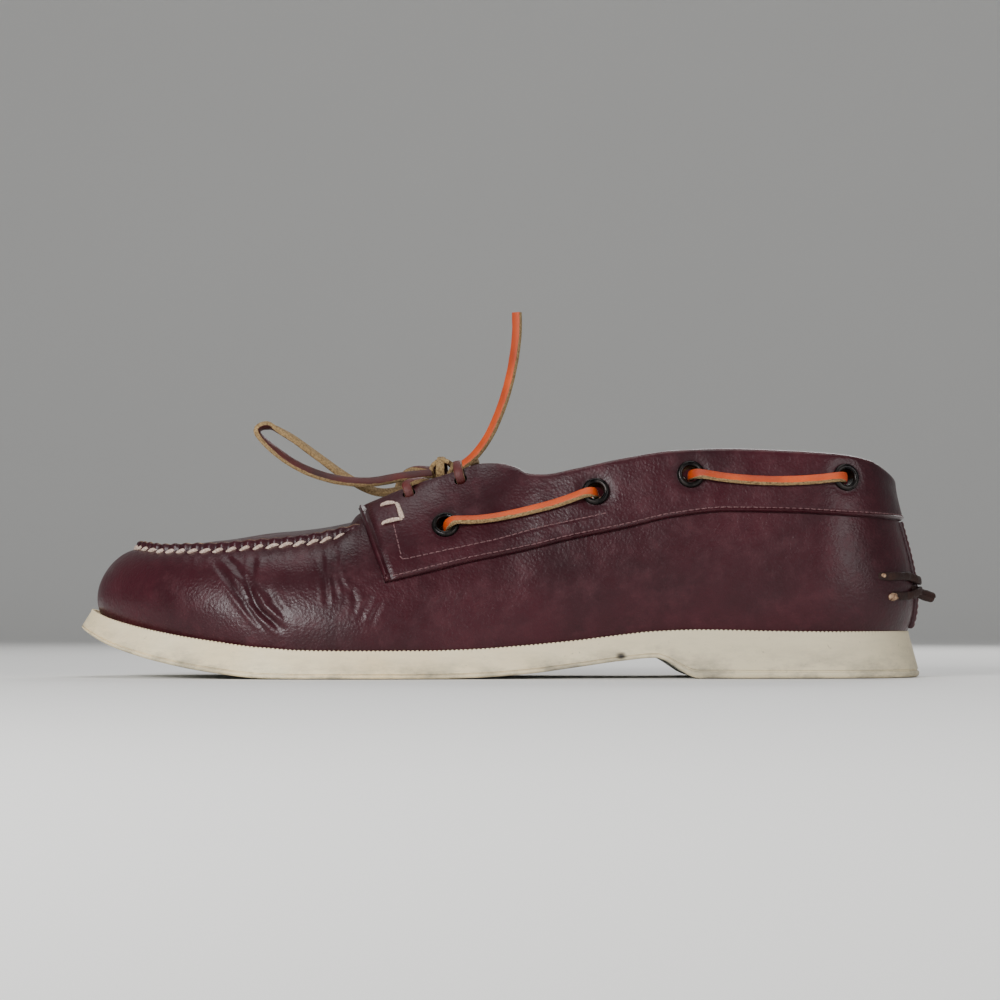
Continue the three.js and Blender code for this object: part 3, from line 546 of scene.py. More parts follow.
# The free lace: the same routes as the solids', from the knot outwards, and which way each face looks
freeLace = {
    "width": 3.3, "thickness": 1.9, "cordDiameter": 3.3, "spacing": 0.9,
    "loopLateral": {
        "node": "lace_loop_lateral", "farEnd": "object",
        "route": [(171.4, 4.9, 71), (181, 8.5, 69.8), (193, 12, 67.8), (206, 15, 69), (218, 17, 73.6),
                  (228.5, 18, 81.5), (231.5, 17.5, 85.5), (228.5, 16.5, 87.3), (221, 14.5, 84), (211, 11.5, 77),
                  (200, 8, 69.2), (190, 5, 64.6), (181, 2.8, 65.6), (173.6, 1.4, 69.3)],
        "faces": [(0, (0, .8, .6)), (.2, (-.2, .7, .7)), (.4, (-.5, .6, .6)), (.5, (-1, .1, 0)),
                  (.6, (.1, -.4, -1)), (.8, (.2, -.6, -.8)), (1, (0, -.5, -.9))],
    },
    "loopMedial": {
        "node": "lace_loop_medial", "farEnd": "object",
        "route": [(170.8, -4.6, 72.6), (177.6, -13, 73.4), (182, -22, 70.2), (184.5, -31, 62.6),
                  (186.5, -38.5, 53.5), (188.3, -43.8, 44), (189, -47, 36), (186.5, -49.6, 30.6),
                  (181.3, -49.4, 30.8), (177.5, -46.9, 37), (174.8, -43.6, 45.5), (172.6, -39, 54.6),
                  (171, -33, 63.8), (169.8, -25.5, 71.8), (168.8, -16, 75.8), (167.7, -5.6, 74.8)],
        "faces": [(0, (.2, .2, 1)), (.25, (.1, -.6, .8)), (.42, (.2, -.9, .3)), (.5, (0, -.6, -1)),
                  (.58, (0, -.9, .3)), (.8, (-.1, -.7, .7)), (1, (0, 0, 1))],
    },
    "endLateral": {
        "node": "lace_end_lateral", "farEnd": "bare",
        "route": [(162, 2.6, 72.8), (156.5, 4, 77), (151.5, 5, 83.5), (147.5, 5.6, 92), (144.5, 6, 101),
                  (142.3, 6.2, 111), (141.2, 6.2, 120.5), (141.2, 6, 127.6)],
        "faces": [(0, (.3, .6, .7)), (.3, (.75, .75, .3)), (.7, (.75, .8, .1)), (1, (.6, .9, 0))],
    },
    "endMedial": {
        "node": "lace_end_medial", "farEnd": "bare",
        "route": [(162.3, -3.4, 73.9), (158, -10, 75.8), (156.4, -18, 76.4), (156.2, -26, 73.6), (157, -33, 66.6),
                  (158, -38.2, 58), (159, -41.8, 49), (160, -44.2, 40)],
        "faces": [(0, (0, 0, 1)), (.4, (0, -.4, 1)), (1, (0, -1, .35))],
    },
}


def makeFreeLace(key):
    entry = freeLace[key]
    path = smoothPath(entry["route"], freeLace["spacing"])
    strip = ribbonShape(path, entry["faces"], freeLace["width"], freeLace["thickness"], seed=len(key))
    piece = ribbonPiece("free_" + key, [strip], orangeLace if "end" in key else shadedRedLace)
    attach(piece, "root")
    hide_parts(entry["node"])
    return piece


knot = {
    "place": (167.3, 0.0, 72.4), "width": 2.9, "thickness": 1.7, "halfHeight": 4.5,
    "radius": 3.5, "turns": 1.7, "start": -0.35, "reach": 2.6, "long": 1.1, "high": 0.9,  # the coil
    "bandFrom": -0.1, "bandTo": 0.92, "bandReach": 4.5, "bandHigh": 3.9, "bandShift": (1.2, -0.4),  # the band round it
}


def makeKnot():
    centre = np.array(knot["place"])
    strips = []
    turns = np.linspace(knot["start"], knot["turns"] + knot["start"], 60) * 2 * math.pi
    share = np.linspace(-1, 1, 60)
    coil = centre + np.stack([knot["radius"] * np.cos(turns) * knot["long"], knot["reach"] * share,
                              knot["radius"] * np.sin(turns) * knot["high"]], -1)
    faces = [(k / 59, tuple(coil[k] - centre - np.array([0, knot["reach"] * share[k], 0]))) for k in range(60)]
    strips.append(ribbonShape(coil, [(s, tuple(-np.array(f))) for s, f in faces], knot["width"],
                              knot["thickness"], seed=4))
    around = np.linspace(knot["bandFrom"], knot["bandTo"], 48) * 2 * math.pi
    swing, shift = knot["bandShift"]
    loop = centre + np.stack([swing * np.cos(around * 0.5) + shift, knot["bandReach"] * np.cos(around),
                              knot["bandHigh"] * np.sin(around)], -1)
    loopFaces = [(k / 47, (0, math.cos(around[k]), math.sin(around[k]))) for k in range(48)]
    strips.append(ribbonShape(loop, [(s, tuple(-np.array(f))) for s, f in loopFaces], knot["width"],
                              knot["thickness"], seed=9))
    piece = ribbonPiece("knot", strips, shadedRedLace)
    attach(piece, "root")
    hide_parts("lace_knot")
    return piece


knotPiece = makeKnot()
for laceKey in ("loopLateral", "loopMedial", "endLateral", "endMedial"):
    makeFreeLace(laceKey)
print("free lace and knot made")

# Leather, thread, metal and rubber

leatherLook = {
    "base": linear(62, 17, 27), "deep": linear(40, 10, 17), "light": linear(86, 36, 45),
    "raw": linear(150, 118, 86), "rawDeep": linear(80, 52, 38), "worn": linear(92, 52, 52),
}


def makeLeather(name, base, deep, light, roughness=0.34, grain=1.0, coat=0.06, raw=None):
    material, tree, shader = startMaterial(name, roughness)
    place = objectPlace(tree)
    cloud = noiseValue(tree, place, 24, 4, 0.6)
    mottle = noiseValue(tree, place, 150, 4, 0.65)
    fine = noiseValue(tree, place, 900, 3, 0.6)
    colour = blend(tree, mapValue(tree, cloud, 0.32, 0.68), deep, base)
    colour = blend(tree, mapValue(tree, mottle, 0.5, 0.85, 0, 0.4), colour, light)
    colour = blend(tree, mapValue(tree, fine, 0.5, 0.8, 0, 0.25), colour, deep)
    worn = sums(tree, "MULTIPLY", painted(tree, "worn"), mapValue(tree, mottle, 0.35, 0.65))
    colour = blend(tree, worn, colour, leatherLook["worn"])
    # This mask darkens the leather towards its deep colour. In the creases, the apron seam's puckers and the
    # pressed-in grooves it is painted shade; on the insole it is real foot wear.
    fold = painted(tree, "fold")
    colour = blend(tree, mapValue(tree, fold, 0, 1, 0, 0.7), colour, deep)
    rawShare = painted(tree, "raw")
    if raw:
        suede = blend(tree, mapValue(tree, fine, 0.35, 0.65), leatherLook["rawDeep"], raw)
        rawShare = mapValue(tree, sums(tree, "ADD", rawShare, mapValue(tree, mottle, 0.3, 0.7, -0.22, 0.22)), 0.4, 0.6)
        colour = blend(tree, rawShare, colour, suede)
    feed(tree, shader.inputs["Base Color"], colour)
    wave = noiseValue(tree, place, 320, 2, 0.5)
    bent = tree.nodes.new("ShaderNodeVectorMath")
    bent.operation = "MULTIPLY_ADD"
    spread = tree.nodes.new("ShaderNodeCombineXYZ")
    for axis in range(3):
        tree.links.new(wave, spread.inputs[axis])
    tree.links.new(spread.outputs[0], bent.inputs[0])
    bent.inputs[1].default_value = (0.0011, 0.0011, 0.0011)
    tree.links.new(place, bent.inputs[2])
    pebble = cells(tree, bent.outputs[0], 950)
    pores = cells(tree, bent.outputs[0], 2100, "F1")
    wrinkle = cells(tree, bent.outputs[0], 420, "DISTANCE_TO_EDGE")
    crackle = sums(tree, "MULTIPLY", mapValue(tree, wrinkle, 0.0, 0.12), mapValue(tree, cloud, 0.45, 0.62))
    height = sums(tree, "ADD", pebble, sums(tree, "MULTIPLY", pores, 0.35))
    height = sums(tree, "ADD", height, sums(tree, "MULTIPLY", crackle, 0.28))
    shine = mapValue(tree, mottle, 0.3, 0.75, roughness - 0.05, roughness + 0.14)
    if raw:
        shine = sums(tree, "MAXIMUM", shine, sums(tree, "MULTIPLY", rawShare, 0.9))
    feed(tree, shader.inputs["Roughness"], shine)
    under = bumpOf(tree, noiseValue(tree, place, 140, 3), 0.0006, 0.35)
    feed(tree, shader.inputs["Normal"], bumpOf(tree, height, 0.00013 * grain, 0.62, under))
    shader.inputs["Coat Weight"].default_value = coat
    shader.inputs["Coat Roughness"].default_value = 0.3
    shader.inputs["IOR"].default_value = 1.42
    shader.inputs["Specular IOR Level"].default_value = 0.4
    return material


upperLeather = makeLeather("waxedOxblood", leatherLook["base"], leatherLook["deep"], leatherLook["light"],
                           raw=leatherLook["raw"])
tongueLeather = makeLeather("tongueLeather", linear(48, 18, 24), linear(30, 10, 14), linear(70, 34, 40), 0.5,
                            raw=leatherLook["raw"])
liningLeather = makeLeather("liningLeather", linear(150, 116, 82), linear(122, 90, 60), linear(176, 144, 108),
                            0.62, 0.7, 0.0)
sockLeather = makeLeather("sockLeather", linear(120, 82, 58), linear(92, 60, 42), linear(148, 108, 78),
                          0.55, 0.7, 0.03)
tieLeather = makeLeather("tieLeather", linear(52, 28, 22), linear(30, 15, 12), linear(88, 56, 42), 0.68, 1.6, 0.0,
                         raw=linear(176, 146, 118))


def makeThread(name, light, deep, twist):
    material, tree, shader = startMaterial(name, 0.7)
    place = objectPlace(tree)
    strands = noiseValue(tree, place, 2400, 2, 0.5)
    soil = noiseValue(tree, place, 90, 3)
    colour = blend(tree, mapValue(tree, strands, 0.35, 0.65), deep, light)
    colour = blend(tree, mapValue(tree, soil, 0.45, 0.8, 0, 0.5), colour, deep)
    feed(tree, shader.inputs["Base Color"], colour)
    feed(tree, shader.inputs["Roughness"], mapValue(tree, soil, 0.3, 0.7, 0.6, 0.8))
    feed(tree, shader.inputs["Normal"], bumpOf(tree, strands, twist, 0.8))
    return material


apronThread = makeThread("waxedThread", linear(222, 202, 186), linear(160, 132, 116), 0.0004)
seamThread = makeThread("seamThread", linear(122, 86, 88), linear(74, 46, 48), 0.0001)


def makeMetal():
    material, tree, shader = startMaterial("agedBrass", 0.3, 0.92)
    place = objectPlace(tree)
    patina = noiseValue(tree, place, 330, 4, 0.6)
    scratch = noiseValue(tree, objectPlace(tree, (1, 1, 6)), 900, 2)
    colour = blend(tree, mapValue(tree, patina, 0.35, 0.7), linear(24, 23, 24), linear(56, 52, 50))
    feed(tree, shader.inputs["Base Color"], colour)
    feed(tree, shader.inputs["Roughness"], mapValue(tree, patina, 0.3, 0.7, 0.2, 0.42))
    feed(tree, shader.inputs["Normal"], bumpOf(tree, scratch, 0.00004, 0.5))
    return material


rubberTread = {"pitch": 6.0, "cutShare": 0.1, "depth": 0.7}


def makeRubber():
    material, tree, shader = startMaterial("creamRubber", 0.62)
    place = objectPlace(tree)
    cloud = noiseValue(tree, place, 28, 4, 0.6)
    brushed = noiseValue(tree, objectPlace(tree, (1, 1, 5)), 170, 4, 0.65)
    speck = noiseValue(tree, place, 620, 3, 0.7)
    cream = blend(tree, mapValue(tree, cloud, 0.3, 0.7), linear(234, 212, 166), linear(244, 229, 194))
    colour = blend(tree, painted(tree, "heel"), cream, linear(214, 201, 170))
    colour = blend(tree, mapValue(tree, brushed, 0.45, 0.8, 0, 0.3), colour, linear(196, 186, 160))
    low = painted(tree, "low")
    smear = noiseValue(tree, objectPlace(tree, (1, 1, 2.2)), 60, 5, 0.7)
    dirt = sums(tree, "MULTIPLY", mapValue(tree, smear, 0.42, 0.7), low)
    colour = blend(tree, mapValue(tree, dirt, 0, 0.8, 0, 0.85), colour, linear(128, 122, 108))
    colour = blend(tree, mapValue(tree, speck, 0.66, 0.74, 0, 0.5), colour, linear(140, 130, 112))
    colour = blend(tree, painted(tree, "tread"), colour, linear(206, 204, 192))
    wave = tree.nodes.new("ShaderNodeTexWave")
    wave.bands_direction = "X"
    wave.inputs["Scale"].default_value = math.pi / 10 / (rubberTread["pitch"] / 1000)
    tree.links.new(place, wave.inputs["Vector"])
    cuts = mapValue(tree, wave.outputs["Fac"], rubberTread["cutShare"] / 2, rubberTread["cutShare"], 1.0, 0.0)
    cuts = sums(tree, "MULTIPLY", cuts, painted(tree, "tread"))
    # The cuts are painted darker: painted shade in the tread's grooves.
    colour = blend(tree, cuts, colour, linear(92, 88, 80))
    colour = blend(tree, painted(tree, "nick"), colour, linear(48, 42, 38))
    feed(tree, shader.inputs["Base Color"], colour)
    feed(tree, shader.inputs["Roughness"], mapValue(tree, brushed, 0.3, 0.7, 0.5, 0.76))
    fineBump = bumpOf(tree, noiseValue(tree, objectPlace(tree, (1, 1, 3)), 700, 4, 0.7), 0.00018, 0.5)
    cutBump = bumpOf(tree, sums(tree, "SUBTRACT", 1.0, cuts), rubberTread["depth"] / 1000, 1.0, fineBump)
    feed(tree, shader.inputs["Normal"], bumpOf(tree, brushed, 0.0004, 0.35, cutBump))
    shader.inputs["Subsurface Weight"].default_value = 0.04
    shader.inputs["Subsurface Radius"].default_value = (0.002, 0.0015, 0.001)
    return material


agedMetal = makeMetal()
creamRubber = makeRubber()
holeDark, holeTree, holeShader = startMaterial("holeShade", 0.9)
feed(holeTree, holeShader.inputs["Base Color"], blend(holeTree, noiseValue(holeTree, objectPlace(holeTree), 600),
                                                      linear(14, 8, 8), linear(34, 20, 18)))
print("materials made")


# Shells, holes and rows of stitches


def shellPiece(name, outer, inner, material, closed=False, capEnd=True, sharp=None, values=None, merge=False):
    # A closed skin from an outer grid of (columns, rows) points and an inner one behind it.
    ring = np.concatenate([outer, inner[:, ::-1]], axis=1)
    columns, rows = ring.shape[:2]
    faces = gridFaces(columns, rows, closedColumns=closed, closedRows=True)
    if not closed:
        faces.append(tuple(range(rows)))
        if capEnd:
            faces.append(tuple(range((columns - 1) * rows, columns * rows))[::-1])
    piece = makePiece(name, ring, faces, material)
    for key, value in (values or {}).items():
        setValues(piece, key, value)
    if merge:
        mergePoints(piece)
    if sharp:
        piece.data.set_sharp_from_angle(angle=math.radians(sharp))
    return piece


def mergePoints(piece, distance=2e-6):
    shape = bmesh.new()
    shape.from_mesh(piece.data)
    bmesh.ops.remove_doubles(shape, verts=shape.verts, dist=distance)
    shape.to_mesh(piece.data)
    shape.free()
    faceOut(piece.data)


def punchHoles(piece, places, radius, reach=5.0, sharp=40):
    # Round holes cut along each place's normal.
    tools, faces, start = [], [], 0
    turns = np.linspace(0, 2 * math.pi, 28, endpoint=False)
    for point, normal in places:
        side = unit(np.cross(normal, [0.3, 0.1, 1.0]))
        other = np.cross(normal, side)
        for lift in (-reach, reach):
            spokes = np.cos(turns)[:, None] * side + np.sin(turns)[:, None] * other
            tools.append(point + normal * lift + radius * spokes)
        count = len(turns)
        for k in range(count):
            following = (k + 1) % count
            faces.append((start + k, start + following, start + count + following, start + count + k))
        faces.append(tuple(start + k for k in range(count))[::-1])
        faces.append(tuple(start + count + k for k in range(count)))
        start += 2 * count
    cutter = makePiece("holeCutter", np.concatenate(tools), faces, holeDark)
    change = piece.modifiers.new("holes", "BOOLEAN")
    change.operation = "DIFFERENCE"
    change.solver = "MANIFOLD"
    change.object = cutter
    before = len(piece.data.polygons)
    result = bpy.data.meshes.new_from_object(piece.evaluated_get(bpy.context.evaluated_depsgraph_get()))
    piece.modifiers.clear()
    if len(result.polygons) > 0.5 * before:
        result.name = piece.name
        piece.data = result
    else:
        print("holes not cut in", piece.name)
    bpy.data.objects.remove(cutter)
    piece.data.set_sharp_from_angle(angle=math.radians(sharp))


def socketInput(tree, kind, name, value=None):
    socket = tree.interface.new_socket(name, in_out="INPUT", socket_type=kind)
    if value is not None:
        socket.default_value = value
    return socket


def makeStitchTree():
    tree = bpy.data.node_groups.new("stitchRow", "GeometryNodeTree")
    socketInput(tree, "NodeSocketGeometry", "Row")
    for name, value in (("Spacing", 0.0046), ("Length", 0.0048), ("Thickness", 0.0014), ("Rise", 0.0012),
                        ("Sink", 0.0006), ("Slant", 0.25), ("Jitter", 0.06)):
        socketInput(tree, "NodeSocketFloat", name, value)
    socketInput(tree, "NodeSocketInt", "Seed", 3)
    socketInput(tree, "NodeSocketMaterial", "Thread")
    tree.interface.new_socket("Stitches", in_out="OUTPUT", socket_type="NodeSocketGeometry")
    nodes = tree.nodes
    source = nodes.new("NodeGroupInput").outputs
    toCurve = nodes.new("GeometryNodeMeshToCurve")
    resample = nodes.new("GeometryNodeResampleCurve")
    resample.mode = "LENGTH"
    tangent = nodes.new("GeometryNodeInputTangent")
    out = nodes.new("GeometryNodeInputNamedAttribute")
    out.data_type = "FLOAT_VECTOR"
    out.inputs[0].default_value = "out"
    axes = nodes.new("FunctionNodeAxesToRotation")
    axes.primary_axis = "Z"
    axes.secondary_axis = "X"
    chance = nodes.new("FunctionNodeRandomValue")
    chance.data_type = "FLOAT"
    slant = nodes.new("FunctionNodeAxisAngleToRotation")
    slant.inputs[0].default_value = (0, 0, 1)
    turned = nodes.new("FunctionNodeRotateRotation")
    turned.rotation_space = "LOCAL"
    arc = nodes.new("GeometryNodeCurveQuadraticBezier")
    arc.inputs[0].default_value = 7
    profile = nodes.new("GeometryNodeCurvePrimitiveCircle")
    profile.inputs["Resolution"].default_value = 8
    toMesh = nodes.new("GeometryNodeCurveToMesh")
    toMesh.inputs["Fill Caps"].default_value = True
    place = nodes.new("GeometryNodeInstanceOnPoints")
    realize = nodes.new("GeometryNodeRealizeInstances")
    smooth = nodes.new("GeometryNodeSetShadeSmooth")
    paint = nodes.new("GeometryNodeSetMaterial")
    result = nodes.new("NodeGroupOutput")

    def join(first, second):
        tree.links.new(first, second)

    join(source["Row"], toCurve.inputs[0])
    join(toCurve.outputs[0], resample.inputs["Curve"])
    join(source["Spacing"], resample.inputs["Length"])
    join(out.outputs[0], axes.inputs[0])
    join(tangent.outputs[0], axes.inputs[1])
    join(sums(tree, "MULTIPLY", source["Jitter"], -1.0), chance.inputs[2])
    join(source["Jitter"], chance.inputs[3])
    join(source["Seed"], chance.inputs["Seed"])
    join(sums(tree, "ADD", source["Slant"], chance.outputs[1]), slant.inputs[1])
    join(axes.outputs[0], turned.inputs[0])
    join(slant.outputs[0], turned.inputs[1])
    halfLength = sums(tree, "MULTIPLY", source["Length"], 0.5)
    for socket, reach, lift in ((arc.inputs["Start"], -1.0, source["Sink"]), (arc.inputs["End"], 1.0, source["Sink"]),
                                (arc.inputs["Middle"], 0.0, source["Rise"])):
        corner = nodes.new("ShaderNodeCombineXYZ")
        join(sums(tree, "MULTIPLY", halfLength, reach), corner.inputs[0])
        join(sums(tree, "MULTIPLY", lift, -1.0 if reach else 1.0), corner.inputs[2])
        join(corner.outputs[0], socket)
    join(sums(tree, "MULTIPLY", source["Thickness"], 0.5), profile.inputs["Radius"])
    join(arc.outputs[0], toMesh.inputs["Curve"])
    join(profile.outputs[0], toMesh.inputs["Profile Curve"])
    join(resample.outputs[0], place.inputs["Points"])
    join(toMesh.outputs[0], place.inputs["Instance"])
    join(turned.outputs[0], place.inputs["Rotation"])
    join(place.outputs[0], realize.inputs[0])
    join(realize.outputs[0], smooth.inputs[0])
    join(smooth.outputs[0], paint.inputs[0])
    join(source["Thread"], paint.inputs["Material"])
    join(paint.outputs[0], result.inputs[0])
    return tree


stitchTree = makeStitchTree()


def runTree(piece, tree, values):
    # Puts the tree on a piece with its named values and leaves the plain mesh that it makes.
    change = piece.modifiers.new(tree.name, "NODES")
    change.node_group = tree
    for socket in tree.interface.items_tree:
        if socket.item_type == "SOCKET" and socket.in_out == "INPUT" and socket.name in values:
            change[socket.identifier] = values[socket.name]
    piece.update_tag()
    result = bpy.data.meshes.new_from_object(piece.evaluated_get(bpy.context.evaluated_depsgraph_get()))
    piece.modifiers.clear()
    result.name = piece.name
    piece.data = result
    return piece


def stitchRow(name, rows, values, thread):
    # rows: (path, outward directions) in the shoe's millimetres
    points, edges, outs, start = [], [], [], 0
    for path, out in rows:
        points.append(toFrame(path))
        outs.append(out)
        edges += [(start + k, start + k + 1) for k in range(len(path) - 1)]
        start += len(path)
    mesh = bpy.data.meshes.new(name)
    mesh.from_pydata(np.concatenate(points).tolist(), edges, [])
    attribute = mesh.attributes.new("out", "FLOAT_VECTOR", "POINT")
    attribute.data.foreach_set("vector", np.concatenate(outs).ravel())
    piece = bpy.data.objects.new(name, mesh)
    scene.collection.objects.link(piece)
    runTree(piece, stitchTree, dict(values, Thread=thread))
    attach(piece, "root")
    return piece


# The outsole: side wall with a serrated top edge, ledge, tread and heel

# A ring of the side wall is (share of the height, inwards in millimetres); the teeth follow above the last one.
outsole = {
    "tooth": 1.5, "toothHeight": 0.5, "toothDepth": 0.7,
    "nick": (105.9, 7.6), "nickSize": 1.1, "nickDepth": 0.5,
    "rings": [(0, 1.0), (0.02, 0.45), (0.05, 0.12), (0.085, 0.0), (0.125, 0.0), (0.14, 0.4), (0.165, 0.4), (0.18, 0.0),
              (0.27, 0), (0.38, 0), (0.5, 0), (0.62, 0), (0.75, 0), (0.86, 0), (0.93, 0)],
    "bottomShares": (0.06, 0.14, 0.25, 0.4, 0.56, 0.72, 0.87, 1.0), "topShares": (0.2, 0.55, 1.0),
    "spine": (22, 268),
}


def spineOf(points, low, high):
    # The place on the foot's middle line that a rim point's row runs to.
    x = low + (points[..., 0] - points[..., 0].min()) / np.ptp(points[..., 0]) * (high - low)
    return np.stack([x, middle(x / shoe["length"])], -1)


def evenAngles(count):
    fine = np.linspace(0, 2 * math.pi, 6001)
    rim = outline(fine)
    lengths = np.concatenate([[0], np.cumsum(np.linalg.norm(np.diff(rim, axis=0), axis=1))])
    halfCount = count // 2
    halfLength = lengths[3000]
    first = np.interp(np.linspace(0, halfLength, halfCount + 1), lengths[:3001], fine[:3001])
    second = 2 * math.pi - np.interp(np.linspace(0, lengths[-1] - halfLength, count - halfCount + 1),
                                     lengths[-1] - lengths[3000:][::-1], 2 * math.pi - fine[3000:][::-1])[::-1]
    return np.concatenate([first[:-1], second[:-1]]), lengths[-1]


def makeOutsole():
    angles, length = evenAngles(4000)
    teeth = int(round(length / outsole["tooth"]))
    angles, length = evenAngles(teeth * 4)
    at = (1 - np.cos(angles)) / 2
    wave = np.tile([0.0, 0.7, 1.0, 0.7], teeth) * outsole["toothHeight"]
    outer, low, rise = [], [], []

    def addRing(share, extra, lift=0.0):
        lean = np.interp(share, [0, 0.08, 0.5, 1], [0, 0, 0.45, 1])
        place = inset(angles, leanAt(at) * lean + extra)
        bottom, top = treadAt(place[:, 0]), seatAt(place[:, 0])
        outer.append(np.concatenate([place, (bottom + share * (top - bottom) + lift)[:, None]], 1))
        rise.append(np.full(len(angles), share))

    for share, extra in outsole["rings"]:
        addRing(share, extra)
    addRing(0.97, 0.0, wave * 0.6)
    addRing(1.0, 0.12, wave)
    addRing(1.0, outsole["toothDepth"], wave)
    addRing(1.0, outsole["toothDepth"] + 0.25, -0.15)
    side = np.stack(outer, 1)
    rises = np.stack(rise, 1)
    spine = spineOf(side[:, 0, :2], *outsole["spine"])
    treads = []
    for t in outsole["bottomShares"]:
        flat = side[:, 0, :2] * (1 - t) + spine * t
        treads.append(np.concatenate([flat, treadAt(flat[:, 0])[:, None]], 1))
    tops = []
    for t in outsole["topShares"]:
        flat = side[:, -1, :2] * (1 - t) + spine * t
        tops.append(np.concatenate([flat, seatAt(flat[:, 0])[:, None] - 0.05], 1))
    bottom = np.stack(treads[::-1], 1)
    top = np.stack(tops, 1)
    ring = np.concatenate([bottom, side, top], 1)
    columns, count = ring.shape[:2]
    nickAt = np.array(outsole["nick"])
    away = np.hypot((ring[..., 0] - nickAt[0]) / 1.5, ring[..., 2] - nickAt[1]) / outsole["nickSize"]
    nick = np.where(ring[..., 1] > 20, np.exp(-away ** 4), 0)
    nick[:, :bottom.shape[1]] = 0
    ring[..., 1] -= nick * outsole["nickDepth"]
    piece = makePiece("sole", ring, gridFaces(columns, count, closedColumns=True), creamRubber)
    shares = np.concatenate([np.zeros((columns, bottom.shape[1])), rises, np.ones((columns, top.shape[1]))], 1)
    setValues(piece, "low", np.clip(1 - shares * 1.15, 0, 1) ** 1.3)
    setValues(piece, "heel", 1 - smoothStep(ring[..., 0], 60, 190) * 0.9)
    tread = np.zeros((columns, count))
    tread[:, :bottom.shape[1]] = 1
    setValues(piece, "tread", tread)
    setValues(piece, "nick", nick)
    mergePoints(piece, 4e-6)
    piece.data.set_sharp_from_angle(angle=math.radians(42))
    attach(piece, "root")
    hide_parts("outsole")
    return piece


makeOutsole()
print("outsole made")

# The insole, with its edge turned up a little and the hollows that a foot leaves

insole = {
    "curl": 0.9, "curlShare": 0.14, "heelHollow": 1.0, "heelAt": 40, "ballHollow": 0.7, "ballAt": 205,
    "spine": (24, 264), "shares": (1.0, 0.8, 0.6, 0.42, 0.26, 0.14, 0.07, 0.02, 0.0),
}


def makeInsole():
    angles = evenAngles(280)[0]
    at = (1 - np.cos(angles)) / 2
    rim = inset(angles, footInset(at) + shoe["wall"] + shoe["gap"])
    spine = spineOf(rim, *insole["spine"])
    tops, bottoms = [], []
    for t in insole["shares"]:
        flat = rim * (1 - t) + spine * t
        hollow = (insole["heelHollow"] * np.exp(-((flat[:, 0] - insole["heelAt"]) / 30) ** 2)
                  + insole["ballHollow"] * np.exp(-((flat[:, 0] - insole["ballAt"]) / 32) ** 2)) * min(1, t * 2.5)
        lift = insole["curl"] * max(0, 1 - t / insole["curlShare"]) ** 2 - (0.5 if t == 0 else 0)
        z = seatAt(flat[:, 0]) + shoe["gap"] + shoe["insoleThickness"] - 0.3 - hollow + lift
        tops.append(np.concatenate([flat, z[:, None]], 1))
    for t in (0.0, 0.5, 1.0):
        flat = rim * (1 - t) + spine * t
        bottoms.append(np.concatenate([flat, (seatAt(flat[:, 0]) + shoe["gap"] * 0.5)[:, None]], 1))
    ring = np.stack(tops + bottoms, 1)
    piece = makePiece("sock", ring, gridFaces(*ring.shape[:2], closedColumns=True), sockLeather)
    foot = (np.exp(-((ring[..., 0] - insole["heelAt"]) / 34) ** 2)
            + np.exp(-((ring[..., 0] - insole["ballAt"]) / 40) ** 2))
    # Darker under the heel and the ball, where the foot wears the sock: real wear.
    setValues(piece, "fold", np.clip(foot * 0.8, 0, 1))
    mergePoints(piece, 4e-6)
    piece.data.set_sharp_from_angle(angle=math.radians(50))
    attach(piece, "root")
    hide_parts("insole")


makeInsole()

# The upper: the vamp and quarters in one leather, with the flex creases by the photograph.
# A line is a crease's run seen from the side (x, z), its depth and its width.

creases = {
    "lines": [
        ([(245, 39.9), (242.8, 37.2), (239.5, 33.2), (234.7, 26.9), (229.3, 20.2), (225.5, 16)], 0.75, 1.0),
        ([(238.1, 35.3), (233.4, 27.8), (229.3, 23.5), (225.2, 18.6)], 0.7, 0.9),
        ([(235.4, 37.7), (232, 29.3), (227.9, 23), (221.8, 17.6), (218.8, 15.9)], 0.95, 1.1),
        ([(241.5, 41.5), (237.2, 38.2), (234.2, 33.5)], 0.35, 0.9),
        ([(231, 42.2), (231.3, 34.1), (229.6, 28.6)], 0.4, 1.1),
        ([(226.5, 31.4), (223.3, 25.4), (219.4, 20.6)], 0.3, 1.2),
        ([(208.3, 44), (207, 36.8), (205.9, 30.2), (205.6, 23.5)], 0.36, 0.9),
        ([(205.2, 41), (203.6, 34.5), (202.3, 26.6)], 0.32, 0.8),
        ([(202.3, 44.7), (202.9, 38.6), (200.9, 32.8), (198.2, 29)], 0.3, 0.75),
        ([(197.6, 31.5), (195.8, 26.2), (196.6, 20.5)], 0.2, 0.9),
        ([(186.3, 27.3), (189.1, 22.1), (191.5, 17.6)], 0.2, 0.9),
        ([(189.6, 28.5), (193.2, 23.5), (194.9, 19.1)], 0.22, 1.0),
        ([(163.5, 29.9), (166, 26.8), (168.8, 23.7)], 0.22, 1.2),
        ([(158.2, 30.8), (160.6, 27.4), (162.2, 24.2)], 0.16, 1.1),
    ],
    "farShift": (-4.0, 0.8), "farDepth": 0.8,
}
upper = {"columns": 840, "rows": 76, "frontBoost": 1.4, "pucker": 0.34, "unevenness": 0.4, "footDrop": 0.33}
seamPitch = 4.6


def lineDistance(x, z, points):
    best = np.full(x.shape, 1e9)
    share = np.zeros(x.shape)
    points = np.asarray(points, float)
    lengths = np.concatenate([[0], np.cumsum(np.linalg.norm(np.diff(points, axis=0), axis=1))])
    for k in range(len(points) - 1):
        a, b = points[k], points[k + 1]
        d = b - a
        t = np.clip(((x - a[0]) * d[0] + (z - a[1]) * d[1]) / (d @ d), 0, 1)
        away = np.hypot(x - a[0] - t * d[0], z - a[1] - t * d[1])
        nearer = away < best
        best = np.where(nearer, away, best)
        share = np.where(nearer, (lengths[k] + t * (lengths[k + 1] - lengths[k])) / lengths[-1], share)
    return best, share


